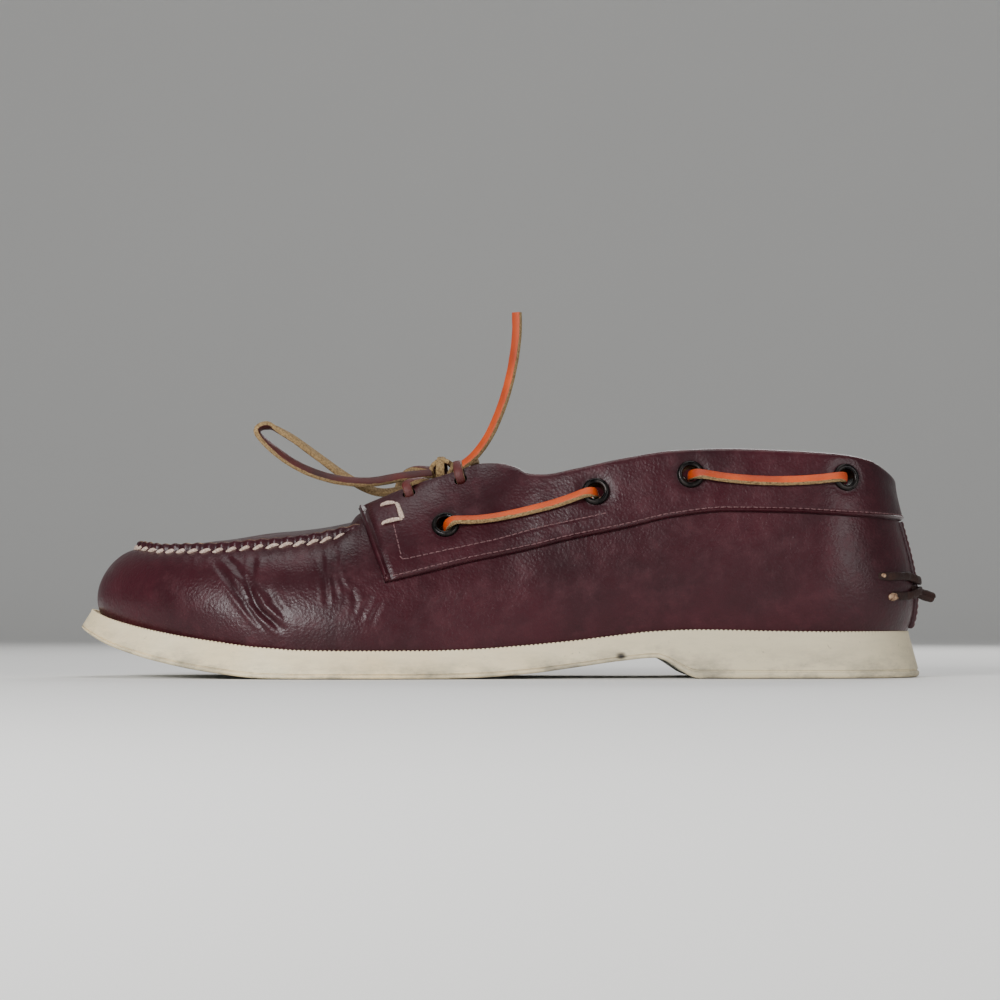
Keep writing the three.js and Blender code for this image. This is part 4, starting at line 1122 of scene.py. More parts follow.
def creaseShift(points, outerSide):
    shift = np.zeros(points.shape[:-1])
    fold = np.zeros(points.shape[:-1])
    near = points[..., 0] > 140
    for side, move, depthShare in ((1, (0, 0), 1.0), (-1, creases["farShift"], creases["farDepth"])):
        here = near & (outerSide == side)
        x, z = points[..., 0][here] - move[0], points[..., 2][here] - move[1]
        total, dark = np.zeros(x.shape), np.zeros(x.shape)
        for line, depth, width in creases["lines"]:
            away, share = lineDistance(x, z, line)
            ends = smoothStep(share, -0.02, 0.3) * (1 - smoothStep(share, 0.72, 1.02))
            trough = np.exp(-(away / width) ** 2)
            ridge = np.exp(-((away - 2.1 * width) / width) ** 2)
            total += depth * depthShare * ends * (0.5 * ridge - trough)
            # The darkness along each crease's trough is painted shade.
            dark = np.maximum(dark, ends * trough * min(1, depth * 1.2))
        shift[here], fold[here] = total, dark
    return shift, fold


def halfSeam(count):
    # The apron's seam on the outer side, from under the saddle to the toe.
    start = angleAt(shoe["seamStart"])
    hiddenX = np.linspace(shoe["throatAt"] * shoe["length"] + 0.2, shoe["seamStart"] * shoe["length"], 30)[:-1]
    out = float(readTable(topTable, "out", shoe["seamStart"])) * half
    up = float(readTable(topTable, "up", shoe["seamStart"])) * shoe["collarHeight"]
    climb = (shoe["seamStart"] * shoe["length"] - hiddenX) * shoe["seamClimb"]
    hidden = np.stack([hiddenX, middle(hiddenX / shoe["length"]) + out, up + climb], -1)
    shown = topEdge(np.linspace(start, math.pi, 500))
    path = np.concatenate([hidden, shown])
    lengths = np.concatenate([[0], np.cumsum(np.linalg.norm(np.diff(path, axis=0), axis=1))])
    even = np.linspace(0, lengths[-1], count)
    return np.stack([np.interp(even, lengths, path[:, c]) for c in range(3)], -1), lengths[-1]


def mirrored(points):
    result = points.copy()
    result[..., 1] = 2 * middle(points[..., 0] / shoe["length"]) - points[..., 1]
    return result


seamHalf, seamHalfLength = halfSeam(230)
seamPitch = seamHalfLength / round(seamHalfLength / seamPitch)


def seamShare(x):
    # How far along the seam, in millimetres, a place at x lies.
    along = np.linspace(0, seamHalfLength, len(seamHalf))
    return np.interp(x, seamHalf[:, 0], along)


def unevenness(points, scale, strength, seed):
    flat = points.reshape(-1, 3) * scale
    values = [noise.noise(Vector((p[0] + seed, p[1], p[2]))) for p in flat]
    return np.array(values).reshape(points.shape[:-1]) * strength


def eyeletPlaces():
    places = []
    for side in (1, -1):
        for at, up in zip(eyeletTable["at"], eyeletTable["up"]):
            angle = float(angleAt(at)) * side
            v = float(shareAtHeight(angle, up * shoe["collarHeight"]))
            places.append((skin(angle, v, 0.0), skinNormal(angle, v)))
    return places


wingHoles = {"at": [0.545, 0.605], "down": 0.085, "radius": 2.3}


def wingPlaces():
    places = []
    for side in (1, -1):
        for at in wingHoles["at"]:
            angle = float(angleAt(at)) * side
            places.append((skin(angle, 1 - wingHoles["down"], 0.0), skinNormal(angle, 1 - wingHoles["down"])))
    return places


holeRadius = 3.1


def makeUpper():
    fine = np.linspace(0, 2 * math.pi, 6001)
    rim = outline(fine)
    weight = 1 + upper["frontBoost"] * smoothStep((1 - np.cos(fine)) / 2, 0.55, 0.68)
    steps = np.linalg.norm(np.diff(rim, axis=0), axis=1) * weight[1:]
    lengths = np.concatenate([[0], np.cumsum(steps)])
    angles = np.interp(np.linspace(0, lengths[-1], upper["columns"] + 1)[:-1], lengths, fine)[:, None]
    v = np.linspace(0, 1, upper["rows"])[None, :]
    base = section(angles, v)
    normal = skinNormal(angles, v)
    side = np.where(np.sin(angles) >= 0, 1, -1) * np.ones(v.shape)
    shift, fold = creaseShift(base, side)
    front = smoothStep(base[..., 0], 196, 206)
    phase = np.cos(2 * math.pi * seamShare(base[..., 0]) / seamPitch)
    shift -= front * upper["pucker"] * phase * np.exp(-(1 - v) * 46 / 4.5)
    shift += unevenness(base, 0.04, upper["unevenness"], 3) * smoothStep(v, 0.02, 0.2) * (1 - smoothStep(v, 0.85, 1))
    body = base + normal * shift[..., None]
    foot = base[:, :1].copy()
    foot[..., 2] -= upper["footDrop"]
    outer = np.concatenate([foot, body], 1)
    innerV = np.array([0, 0.2, 0.45, 0.7, 0.9, 1.0])[None, :]
    inner = skin(angles, innerV, np.full((len(angles), 6), -1.9))
    creaseShadeRows = np.concatenate([np.zeros((len(angles), 1)), fold, np.zeros((len(angles), 6))], 1)
    raw = np.concatenate([np.zeros((len(angles), 1 + upper["rows"])), np.ones((len(angles), 6))], 1)
    piece = shellPiece("vampAndQuarters", outer, inner, upperLeather, closed=True, values={"fold": creaseShadeRows, "raw": raw})
    punchHoles(piece, eyeletPlaces(), holeRadius)
    punchHoles(piece, wingPlaces(), wingHoles["radius"])
    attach(piece, "root")
    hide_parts("upper")


makeUpper()
print("upper made")

# The apron with its raised, gathered seam. The profile is (inwards from the seam, up) in millimetres.

apron = {
    "profile": [(-0.3, -1.9), (-0.5, -0.9), (-0.55, 0.2), (-0.45, 1.2), (-0.25, 2.0), (0.05, 2.6), (0.45, 2.95),
                (0.95, 3.0), (1.4, 2.7), (1.8, 2.15), (2.2, 1.6), (2.8, 1.25)],
    "inward": [3.6, 4.8, 6.4, 8.4, 11.0, 14.0, 17.5, 21.0, 24.5, 28.0],
    "gather": 0.4, "ripple": 0.22, "thickness": 1.9, "unevenness": 0.35,
}


def domeHeight(x, y):
    at = x / shoe["length"]
    lap = 1.4
    curve = rounded(shoe["topFront"] + lap / shoe["length"] - at, shoe["apronRound"])
    wide = (readTable(topTable, "out", np.maximum(at, shoe["seamStart"])) * half + lap) * curve
    rise = shoe["apronRise"] + np.maximum(0, shoe["seamStart"] - at) * shoe["seamClimb"] * shoe["length"]
    seam = readTable(topTable, "up", np.maximum(at, shoe["seamStart"])) * shoe["collarHeight"] + rise
    crest = readTable(crestTable, "up", at) * shoe["apronHeight"]
    across = np.clip((y - middle(at)) / np.maximum(wide, 1e-3), -1, 1)
    return seam + (crest - seam) * (1 - across ** 2) * curve ** 2


def makeApron():
    seam = seamHalf
    t = (seam[:, 0] - seam[0, 0]) / (seam[-1, 0] - seam[0, 0])
    spineX = seam[:, 0] - 15 * t ** 2
    spine = np.stack([spineX, middle(spineX / shoe["length"])], -1)
    reach = np.linalg.norm(spine - seam[:, :2], axis=1)
    direction = (spine - seam[:, :2]) / reach[:, None]
    along = np.linspace(0, seamHalfLength, len(seam))
    phase = np.cos(2 * math.pi * along / seamPitch)
    rows, raws, creaseShadeRows = [], [], []
    hidden = 1 - smoothStep(seam[:, 0], 194, 203) * 0.75 - 0.25
    for d, up in apron["profile"]:
        gather = apron["gather"] * phase * (1 if d < 0.3 else 0.3)
        moved = d + gather * (1 if up > -1 else 0) * (1 - hidden)
        place = seam[:, :2] + direction * moved[:, None]
        z = seam[:, 2] + up * (1 - 0.12 * smoothStep(seam[:, 0], 255, 274)) - apron["ripple"] * phase * (up > 1.5)
        rows.append(np.concatenate([place, z[:, None]], 1))
        raws.append(np.full(len(seam), 0.62 if 0.2 < d < 1.2 else 0.0))
        # Painted shade in the puckers of the gathered seam, here and in the rows further in.
        creaseShadeRows.append(np.clip(0.5 + 0.5 * phase, 0, 1) * (0.8 if d < 0.1 else 0.3))
    limit = reach - 0.6
    for d in apron["inward"]:
        away = np.minimum(d, limit * (0.55 + 0.45 * d / apron["inward"][-1]))
        place = seam[:, :2] + direction * away[:, None]
        dome = domeHeight(place[:, 0], place[:, 1])
        start = seam[:, 2] + 1.15 - 0.25 * (d - 2.8)
        mix = smoothStep(away, 2.4, 7.0)
        z = start * (1 - mix) + dome * mix - apron["ripple"] * phase * math.exp(-(d - 2) / 2.2)
        rows.append(np.concatenate([place, z[:, None]], 1))
        raws.append(np.zeros(len(seam)))
        creaseShadeRows.append(np.clip(phase, 0, 1) * math.exp(-(d - 2) / 2) * 0.5)
    rows.append(np.concatenate([spine, domeHeight(spine[:, 0], spine[:, 1])[:, None]], 1))
    raws.append(np.zeros(len(seam)))
    creaseShadeRows.append(np.zeros(len(seam)))
    side = np.stack(rows, 1)
    across = np.concatenate([side, mirrored(side[:, :-1])[:, ::-1]], 1)
    raw = np.stack(raws, 1)
    raw = np.concatenate([raw, raw[:, :-1][:, ::-1]], 1)
    fold = np.stack(creaseShadeRows, 1)
    fold = np.concatenate([fold, fold[:, :-1][:, ::-1]], 1)
    across[..., 2] += unevenness(across, 0.06, apron["unevenness"], 11)
    middleRow = len(rows) - 1
    under = [0, 8, 13, 17, middleRow, 2 * middleRow - 17, 2 * middleRow - 13, 2 * middleRow - 8, 2 * middleRow]
    inner = across[:, under].copy()
    inner[..., 2] -= apron["thickness"]
    inner[:, [0, -1], 2] += apron["thickness"] - 0.25
    inner[:, [1, -2], 2] -= 1.8
    values = {"raw": np.concatenate([raw, np.ones((len(seam), len(under)))], 1),
              "fold": np.concatenate([fold, np.zeros((len(seam), len(under)))], 1)}
    piece = shellPiece("apron", across, inner, upperLeather, capEnd=False, values=values, merge=True)
    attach(piece, "root")
    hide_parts("upper")


makeApron()

whipStitch = {"Spacing": seamPitch / 1000, "Length": 0.0049, "Thickness": 0.0016, "Rise": 0.0011, "Sink": 0.00075,
              "Slant": 0.5, "Jitter": 0.07, "Seed": 3}


def makeWhipStitches():
    start = int(np.searchsorted(seamHalf[:, 0], 197.0))
    halfWay = seamHalf[start:].copy()
    other = mirrored(halfWay)[::-1]
    path = np.concatenate([halfWay, other[1:]])
    along = unit(np.gradient(path, axis=0))
    out = unit(np.stack([-along[:, 1], along[:, 0], np.zeros(len(path))], -1))
    out = np.where((out[:, 1:2] * (path[:, 1:2] - middle(path[:, :1] / shoe["length"])) < 0)
                   & (np.abs(path[:, 1:2] - middle(path[:, :1] / shoe["length"])) > 2), -out, out)
    tip = len(halfWay) - 1
    out[tip - 3:tip + 4] = [1.0, 0.0, 0.0]
    path = path + out * 0.75 + np.array([0, 0, 0.05])
    facing = unit(out + np.array([0, 0, 0.75]))
    stitchRow("apronStitches", [(path, facing)], whipStitch, apronThread)


makeWhipStitches()
print("apron made")

# The saddle's wings and the collar band, one leather with beaded edges, rolled over at the top.
# c runs from -1 at the inner front edge over the heel to 1 at the outer one, r from the lower edge up.

band = {
    "frontLow": (186.1, 32.0), "frontHigh": (195.3, 56.5), "face": 1.9, "plainStep": 0.85, "plainRows": 42,
    "edgeSteps": [0, 0.12, 0.3, 0.55, 0.85, 1.2, 1.6, 2.0, 2.5, 3.0, 3.6, 4.3],
    "lowBead": [0, 0.8, 1.3, 1.7, 1.98, 2.05, 1.92, 1.7, 1.78, 1.86, 1.9, 1.9],
    "frontBead": [0, 1.1, 1.7, 2.2, 2.55, 2.6, 2.25, 1.6, 1.3, 1.5, 1.8, 1.9],
    "innerFace": -2.5, "facing": 7.0, "unevenness": 0.28,
    "rollTurns": (25, 50, 75, 100, 125, 150, 175), "rollRise": 0.8, "heelBead": 0.5,
    "stitchGroove": 0.22, "eyeletDent": 0.35, "stitchIn": 2.05,
    "innerRow": [(183.1, 50.9), (180.4, 39.6), (147.8, 46.9), (132.9, 51.1), (111.7, 55.8)],
    "box": [[(187.6, 57.6), (182.6, 58.6)], [(182.4, 58.8), (179.9, 53.4)], [(181.7, 58.4), (180.6, 53.2)],
            [(180.2, 53.2), (187.3, 51.4)]],
}


def bandEdge(at):
    return readTable(bandTable, "up", at) * shoe["collarHeight"]


frontShare = np.linspace(0, 1, 60)
frontAngle, frontV = placeOn(np.interp(frontShare, [0, 1], [band["frontLow"][0], band["frontHigh"][0]]),
                             np.interp(frontShare, [0, 1], [band["frontLow"][1], band["frontHigh"][1]]))
frontV[-1] = 1.0


def bandPlace(c, r):
    # The angle and section share of a place on the band.
    c, r = np.broadcast_arrays(np.asarray(c, float), np.asarray(r, float))
    lowAngle = c * frontAngle[0]
    x = shoe["length"] * (1 - np.cos(lowAngle)) / 2
    for turn in range(3):
        lowV = shareAtHeight(lowAngle, bandEdge(x / shoe["length"]))
        x = section(lowAngle, lowV)[..., 0]
    rise = (np.interp(r, frontShare, frontV) - frontV[0]) / (1 - frontV[0])
    return c * np.interp(r, frontShare, frontAngle), lowV + (1 - lowV) * rise


def bandHeight(c):
    rows = np.linspace(0, 1, 18)
    path = section(*bandPlace(np.asarray(c)[:, None], rows[None, :]))
    return np.linalg.norm(np.diff(path, axis=1), axis=2).sum(1)


def bandSkin(c, r, off):
    angle, v = bandPlace(c, r)
    return section(angle, v) + skinNormal(angle, v) * np.asarray(off, float)[..., None], skinNormal(angle, v)


def makeBand():
    edge = np.array(band["edgeSteps"])
    ends = section(*bandPlace(np.array([0.98, 1.0]), np.array([0.3, 0.3])))
    speed = np.linalg.norm(ends[1] - ends[0]) / 0.02
    plain = int(round((speed - edge[-1]) / band["plainStep"]))
    distance = np.concatenate([edge, np.linspace(edge[-1], speed, plain + 1)[1:]])
    positive = (1 - distance / speed)[::-1]
    c = np.concatenate([-positive[::-1][:-1], positive])
    height = bandHeight(c)
    low = edge[None, :] / height[:, None]
    rest = low[:, -1:] + (1 - low[:, -1:]) * np.linspace(0, 1, band["plainRows"])[None, 1:]
    r = np.concatenate([low, rest], 1)
    angle, v = bandPlace(c[:, None], r)
    base, normal = section(angle, v), skinNormal(angle, v)
    x = base[..., 0]
    beadSize = 1 + band["heelBead"] * (1 - smoothStep(x, 20, 90))
    lowOff = np.interp(r * height[:, None], edge, band["lowBead"])
    lowOff = band["face"] + (lowOff - band["face"]) * np.where(lowOff > band["face"], 2.2 * beadSize, 1)
    frontOff = np.interp((1 - np.abs(c)) * speed, edge, band["frontBead"])[:, None] * np.ones(r.shape)
    least = np.minimum(lowOff, frontOff)
    off = np.where(least < band["face"] - 0.05, least, np.maximum(lowOff, frontOff))
    crumple = unevenness(base, 0.05, band["unevenness"], 21)
    off = off + crumple * smoothStep(least, 1.5, 1.9) * (1 - smoothStep(r, 0.85, 1))
    rowAway, share = lineDistance(x, base[..., 2], band["innerRow"])
    off = off - band["stitchGroove"] * np.exp(-(rowAway / 0.6) ** 2) * (1 - smoothStep(share, 0.97, 1.0))
    for point, _ in eyeletPlaces():
        away = np.linalg.norm(base - point, axis=-1)
        off = off - band["eyeletDent"] * np.exp(-((away - 4.9) / 1.5) ** 2)
    body = base + normal * off[..., None]
    topAngle = angle[:, -1]
    upward = unit(section(topAngle, 1.0) - section(topAngle, 0.97))
    centre = (band["face"] + band["innerFace"]) / 2
    radius = (band["face"] - band["innerFace"]) / 2
    frontFade = np.interp((1 - np.abs(c)) * speed, [0, 2.5], [0.35, 1.0])
    roll, inner = [], []
    for turn in np.radians(band["rollTurns"]):
        lift = centre + radius * math.cos(turn)
        rise = radius * band["rollRise"] * math.sin(turn) * frontFade
        roll.append(base[:, -1] + normal[:, -1] * lift + upward * rise[:, None])
    insideV = [0.0, 0.35, 0.6, 0.8, 0.95, 1.0]
    facingShare = 1 - np.minimum(0.45, band["facing"] / height)
    for share in insideV:
        at = facingShare + (1 - facingShare) * share
        depth = band["innerFace"] - 0.25 * (share > 0.1) + 0.35 * (share == 0)
        inner.append(bandSkin(c, at, np.full(len(c), depth))[0])
    hidden = [bandSkin(c, facingShare * s, np.full(len(c), -0.6 if s else 0.02))[0]
              for s in (0.02, 0.3, 0.6, 0.85, 0.97)]
    outer = np.concatenate([body, np.stack(roll, 1)], 1)
    inside = np.stack(hidden + inner, 1)
    worn = np.zeros(outer.shape[:2])
    worn[:, :body.shape[1]] = np.exp(-((off - 2.5) / 0.25) ** 2) * (least > 1.9)
    worn[:, body.shape[1]:] = 0.35
    # Painted shade where the leather is pressed in: along the stitch groove, round the eyelet dents and at the edges
    # below the face.
    pressedShade = np.zeros(outer.shape[:2])
    pressedShade[:, :body.shape[1]] = np.clip((band["face"] - 0.12 - off) / 0.5, 0, 1)
    values = {"worn": np.concatenate([worn, np.zeros(inside.shape[:2])], 1),
              "fold": np.concatenate([pressedShade, np.zeros(inside.shape[:2])], 1)}
    piece = shellPiece("saddleAndCollar", outer, inside, upperLeather, values=values)
    punchHoles(piece, eyeletPlaces(), holeRadius)
    punchHoles(piece, wingPlaces(), wingHoles["radius"])
    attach(piece, "root")
    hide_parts("saddle_band")


makeBand()

fineStitch = {"Spacing": 0.0022, "Length": 0.0017, "Thickness": 0.0005, "Rise": 0.00022, "Sink": 0.0002,
              "Slant": 0.0, "Jitter": 0.1, "Seed": 5}


def makeBandStitches():
    c = np.linspace(-0.985, 0.985, 560)
    height = bandHeight(c)
    rows = [bandSkin(c, band["stitchIn"] / height, np.full(len(c), 1.74))]
    line = np.array(band["innerRow"], float)
    for side in (1, -1):
        dense = []
        for first, second in zip(line[:-1], line[1:]):
            count = max(2, int(np.linalg.norm(second - first) / 0.8))
            dense += [first + (second - first) * t for t in np.linspace(0, 1, count, endpoint=False)]
        dense = np.array(dense + [line[-1]])
        angle, v = placeOn(dense[:, 0], dense[:, 1], side)
        normal = skinNormal(angle, v)
        rows.append((section(angle, v) + normal * 1.78, normal))
    stitchRow("saddleStitches", rows, fineStitch, seamThread)


makeBandStitches()


def tubeRings(path, radius, sides=10, taper=None):
    along = unit(np.gradient(path, axis=0))
    side = unit(np.cross(along, [0.12, 0.21, 0.97]))
    other = np.cross(side, along)
    turns = np.linspace(0, 2 * math.pi, sides, endpoint=False)
    shares = np.linspace(0, 1, len(path))
    rings = []
    for k, place in enumerate(path):
        size = radius * (1 if taper is None else float(np.interp(shares[k], taper[0], taper[1])))
        size *= 1 + 0.1 * noise.noise(Vector((k * 0.5, radius * 9, 0.3)))
        rings.append(place + size * (np.cos(turns)[:, None] * side[k] + np.sin(turns)[:, None] * other[k]))
    rings = np.array(rings)
    return rings, np.zeros(rings.shape[:2])


def makeBoxStitches():
    strips = []
    for side in (1, -1):
        for ends in band["box"]:
            points = np.array(ends, float)
            line = points[0] + (points[1] - points[0]) * np.linspace(0, 1, 9)[:, None]
            angle, v = placeOn(line[:, 0], line[:, 1], side)
            along = np.linspace(-1, 1, 9)
            lift = 1.75 + 0.75 * np.sqrt(np.clip(1 - along ** 2, 0, 1)) - 0.5 * (np.abs(along) > 0.95)
            strips.append(tubeRings(skin(angle, v, lift), 0.72, taper=([0, 0.5, 1], [0.75, 1.1, 0.75])))
    piece = ribbonPiece("boxStitches", strips, apronThread)
    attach(piece, "root")


makeBoxStitches()
print("saddle and collar made")

# The lining inside the upper

lining = {"columns": 260, "rows": 26, "face": -2.05, "thickness": 0.55}


def makeLining():
    angles = evenAngles(lining["columns"])[0]
    top = 0.985 - 0.02 * smoothStep((1 - np.cos(angles)) / 2, 0.6, 0.68)
    v = 0.03 + (top[:, None] - 0.03) * np.linspace(0, 1, lining["rows"])[None, :]
    base, normal = section(angles[:, None], v), skinNormal(angles[:, None], v)
    outer = base + normal * lining["face"]
    inner = base + normal * (lining["face"] - lining["thickness"] + unevenness(base, 0.05, 0.15, 33)[..., None])
    piece = shellPiece("lining", outer, inner, liningLeather, closed=True, sharp=50)
    punchHoles(piece, eyeletPlaces(), holeRadius)
    punchHoles(piece, wingPlaces(), wingHoles["radius"])
    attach(piece, "root")


makeLining()

# The strip over the heel's back seam, and the tie around it

backstay = {
    "low": 16.9, "high": 53.9, "edge": [0, 0.2, 0.5, 0.9, 1.3, 1.7], "lift": [0.05, 0.85, 1.25, 1.45, 1.3, 1.38],
}


def heelPlace(y, z):
    # The angle on the heel at which the skin at height z is y off the middle.
    y, z = np.broadcast_arrays(np.asarray(y, float), np.asarray(z, float))
    low, high = np.zeros(y.shape), np.full(y.shape, 1.2)
    for turn in range(20):
        mid = (low + high) / 2
        less = section(mid, shareAtHeight(mid, z))[..., 1] < np.abs(y)
        low, high = np.where(less, mid, low), np.where(less, high, mid)
    angle = np.sign(y) * (low + high) / 2
    return angle, shareAtHeight(angle, z)


def makeBackstay():
    edge = np.array(backstay["edge"])
    wide = shoe["stripWidth"] / 2
    inner = np.concatenate([-wide + edge, np.linspace(-wide + edge[-1], 0, 8)[1:]])
    y = np.concatenate([inner, -inner[::-1][1:]])
    z = np.concatenate([backstay["low"] + np.array([0, 0.25, 0.6]),
                        np.linspace(backstay["low"] + 1.2, backstay["high"], 34)])
    angle, v = heelPlace(y[:, None], z[None, :])
    base, normal = section(angle, v), skinNormal(angle, v)
    lift = np.interp(wide - np.abs(y), edge, backstay["lift"])[:, None] * np.ones(v.shape)
    lift = np.minimum(lift, np.interp(z - backstay["low"], edge, backstay["lift"])[None, :])
    outer = base + normal * lift[..., None]
    inner = base + normal * 0.02
    worn = np.exp(-((lift - 1.45) / 0.08) ** 2) * 0.7
    piece = shellPiece("backstayStrip", outer, inner, upperLeather, sharp=60,
                       values={"worn": np.concatenate([worn, worn * 0], 1)})
    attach(piece, "root")
    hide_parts("backstay")
    rows = []
    for side in (1, -1):
        height = np.linspace(backstay["low"] + 1.5, backstay["high"] - 1, 40)
        angle, v = heelPlace(np.full(40, side * (wide - 1.35)), height)
        rows.append((skin(angle, v, 1.36), skinNormal(angle, v)))
    stitchRow("backstayStitches", rows, fineStitch, seamThread)


makeBackstay()

heelTie = {
    "strands": [(0.055, 0.452, 0.02), (0.04, 0.366, -0.022)], "width": 2.7, "thickness": 1.5, "lift": 0.95,
    "roll": [(6.5, 11.5, 31.0), (2.2, 7.5, 29.6), (-2.2, 3.6, 28.2), (-4.4, 1.8, 27.6)],
    "rollRadius": 2.1, "rollTurns": 1.6, "stubs": [((16.0, 35.1), 0.9), ((12.5, 27.8), 1.7)],
}


def makeTie():
    strips = []
    for reachAt, up, dip in heelTie["strands"]:
        points, faces = [], []
        for k in np.linspace(0, 1, 13):
            turn = float(angleAt(reachAt)) * (1 - 2 * k)
            nearBack = 1 - float(smoothStep(abs(turn), 0.1, 0.26))
            v = float(shareAtHeight(turn, (up - dip * nearBack) * shoe["collarHeight"]))
            ends = 1 - float(smoothStep(min(k, 1 - k), 0.0, 0.1))
            lift = heelTie["lift"] + nearBack * 1.35 - 1.6 * ends
            points.append(skin(turn, v, lift))
            faces.append(skinNormal(turn, v))
        path = smoothPath(points, 0.7)
        strips.append(ribbonShape(path, [(k / 12, face) for k, face in enumerate(faces)], heelTie["width"],
                                  heelTie["thickness"], 0.45, rough=0.22, seed=int(up * 100)))
    piece = ribbonPiece("tieStrands", strips, tieLeather)
    route = smoothPath(heelTie["roll"], 0.6)
    along = unit(np.gradient(route, axis=0))
    side = unit(np.cross(along, [0, 0, 1]))
    other = np.cross(side, along)
    turns = np.linspace(0, heelTie["rollTurns"] * 2 * math.pi, 34)
    out = heelTie["rollRadius"] * (1 - 0.38 * turns / turns[-1])
    spiral = np.concatenate([np.stack([out * np.cos(turns), out * np.sin(turns)], 1),
                             np.stack([(out - 0.62) * np.cos(turns), (out - 0.62) * np.sin(turns)], 1)[::-1]])
    rings = []
    for k, place in enumerate(route):
        size = 1 + 0.09 * noise.noise(Vector((k * 0.4, 2.2, 7.7)))
        rings.append(place + size * (spiral[:, :1] * side[k] + spiral[:, 1:] * other[k]))
    rolled = ribbonPiece("tieRoll", [(np.array(rings), np.zeros((len(route), len(spiral))))], tieLeather)
    raw = np.zeros((len(route), len(spiral)))
    raw[:, len(turns):] = 0.55
    setValues(rolled, "raw", raw)
    for strand in (piece, rolled):
        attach(strand, "root")
        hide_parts("heel_tie")
    stubs = bmesh.new()
    for (x, z), size in heelTie["stubs"]:
        for lateral in (1, -1):
            angle, v = placeOn(x, z, lateral)
            centre = toFrame(skin(angle, v, 0.35))
            made = bmesh.ops.create_icosphere(stubs, subdivisions=3, radius=size / 1000)
            for vert in made["verts"]:
                rough = 1 + 0.35 * noise.noise(vert.co * 900 + Vector((x, z, 0)))
                vert.co = Vector((vert.co.x * 1.25, vert.co.y * 0.62, vert.co.z * 0.85)) * rough + Vector(centre)
    mesh = bpy.data.meshes.new("tieStubs")
    stubs.to_mesh(mesh)
    stubs.free()
    mesh.polygons.foreach_set("use_smooth", [True] * len(mesh.polygons))
    mesh.materials.append(tieLeather)
    ends = bpy.data.objects.new("tieStubs", mesh)
    scene.collection.objects.link(ends)
    setValues(ends, "raw", np.ones(len(mesh.vertices)))
    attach(ends, "root")


makeTie()
print("lining and heel made")

# The eyelets: one turned ring set on each hole

eyelet = {
    "profile": [(2.7, -4.2), (2.7, -0.3), (2.74, 0.3), (2.92, 0.72), (3.25, 1.0), (3.7, 1.1), (4.15, 0.98),
                (4.5, 0.66), (4.72, 0.2), (4.75, -0.2), (3.28, -0.2), (3.28, -4.2)],
    "segments": 44,
}


def makeEyelets():
    turns = np.linspace(0, 2 * math.pi, eyelet["segments"], endpoint=False)
    profile = np.array(eyelet["profile"]) / 1000
    rings = np.stack([np.stack([r * np.cos(turns), r * np.sin(turns), np.full(len(turns), h)], -1)
                      for r, h in profile], 1)
    ringMesh = bpy.data.meshes.new("eyeletRing")
    ringFaces = gridFaces(*rings.shape[:2], closedColumns=True, closedRows=True)
    ringMesh.from_pydata(rings.reshape(-1, 3).tolist(), [], ringFaces)
    ringMesh.polygons.foreach_set("use_smooth", [True] * len(ringMesh.polygons))
    faceOut(ringMesh)
    ringMesh.set_sharp_from_angle(angle=math.radians(60))
    ringMesh.materials.append(agedMetal)
    shape = bpy.data.objects.new("eyeletRing", ringMesh)
    tree = bpy.data.node_groups.new("setOnPoints", "GeometryNodeTree")
    socketInput(tree, "NodeSocketGeometry", "Points")
    socketInput(tree, "NodeSocketObject", "Shape")
    socketInput(tree, "NodeSocketFloat", "Size", 1.0)
    socketInput(tree, "NodeSocketInt", "Seed", 1)
    socketInput(tree, "NodeSocketMaterial", "Metal")
    tree.interface.new_socket("Rings", in_out="OUTPUT", socket_type="NodeSocketGeometry")
    nodes = tree.nodes
    source = nodes.new("NodeGroupInput").outputs
    info = nodes.new("GeometryNodeObjectInfo")
    out = nodes.new("GeometryNodeInputNamedAttribute")
    out.data_type = "FLOAT_VECTOR"
    out.inputs[0].default_value = "out"
    axes = nodes.new("FunctionNodeAlignRotationToVector")
    axes.axis = "Z"
    place = nodes.new("GeometryNodeInstanceOnPoints")
    chance = nodes.new("FunctionNodeRandomValue")
    spin = nodes.new("FunctionNodeAxisAngleToRotation")
    turned = nodes.new("FunctionNodeRotateRotation")
    turned.rotation_space = "LOCAL"
    realize = nodes.new("GeometryNodeRealizeInstances")
    paint = nodes.new("GeometryNodeSetMaterial")
    result = nodes.new("NodeGroupOutput")
    chance.inputs[3].default_value = 6.28
    for first, second in ((source["Shape"], info.inputs[0]), (source["Points"], place.inputs["Points"]),
                          (info.outputs["Geometry"], place.inputs["Instance"]),
                          (out.outputs[0], axes.inputs["Vector"]),
                          (source["Seed"], chance.inputs["Seed"]), (chance.outputs[1], spin.inputs[1]),
                          (axes.outputs[0], turned.inputs[0]), (spin.outputs[0], turned.inputs[1]),
                          (turned.outputs[0], place.inputs["Rotation"]), (source["Size"], place.inputs["Scale"]),
                          (place.outputs[0], realize.inputs[0]), (realize.outputs[0], paint.inputs[0]),
                          (source["Metal"], paint.inputs["Material"]), (paint.outputs[0], result.inputs[0])):
        tree.links.new(first, second)
    places = eyeletPlaces()
    mesh = bpy.data.meshes.new("eyelets")
    mesh.from_pydata([tuple(toFrame(point + normal * 1.86)) for point, normal in places], [], [])
    attribute = mesh.attributes.new("out", "FLOAT_VECTOR", "POINT")
    attribute.data.foreach_set("vector", np.array([normal for point, normal in places]).ravel())
    piece = bpy.data.objects.new("eyelets", mesh)
    scene.collection.objects.link(piece)
    runTree(piece, tree, {"Shape": shape, "Size": 1.0, "Seed": 1, "Metal": agedMetal})
    bpy.data.objects.remove(shape)
    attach(piece, "root")
    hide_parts(*["eyelet_%s_%d" % (side, k) for side in ("lateral", "medial") for k in (1, 2, 3, 4)])


makeEyelets()

# The lace along the band, through the eyelets, and across the throat

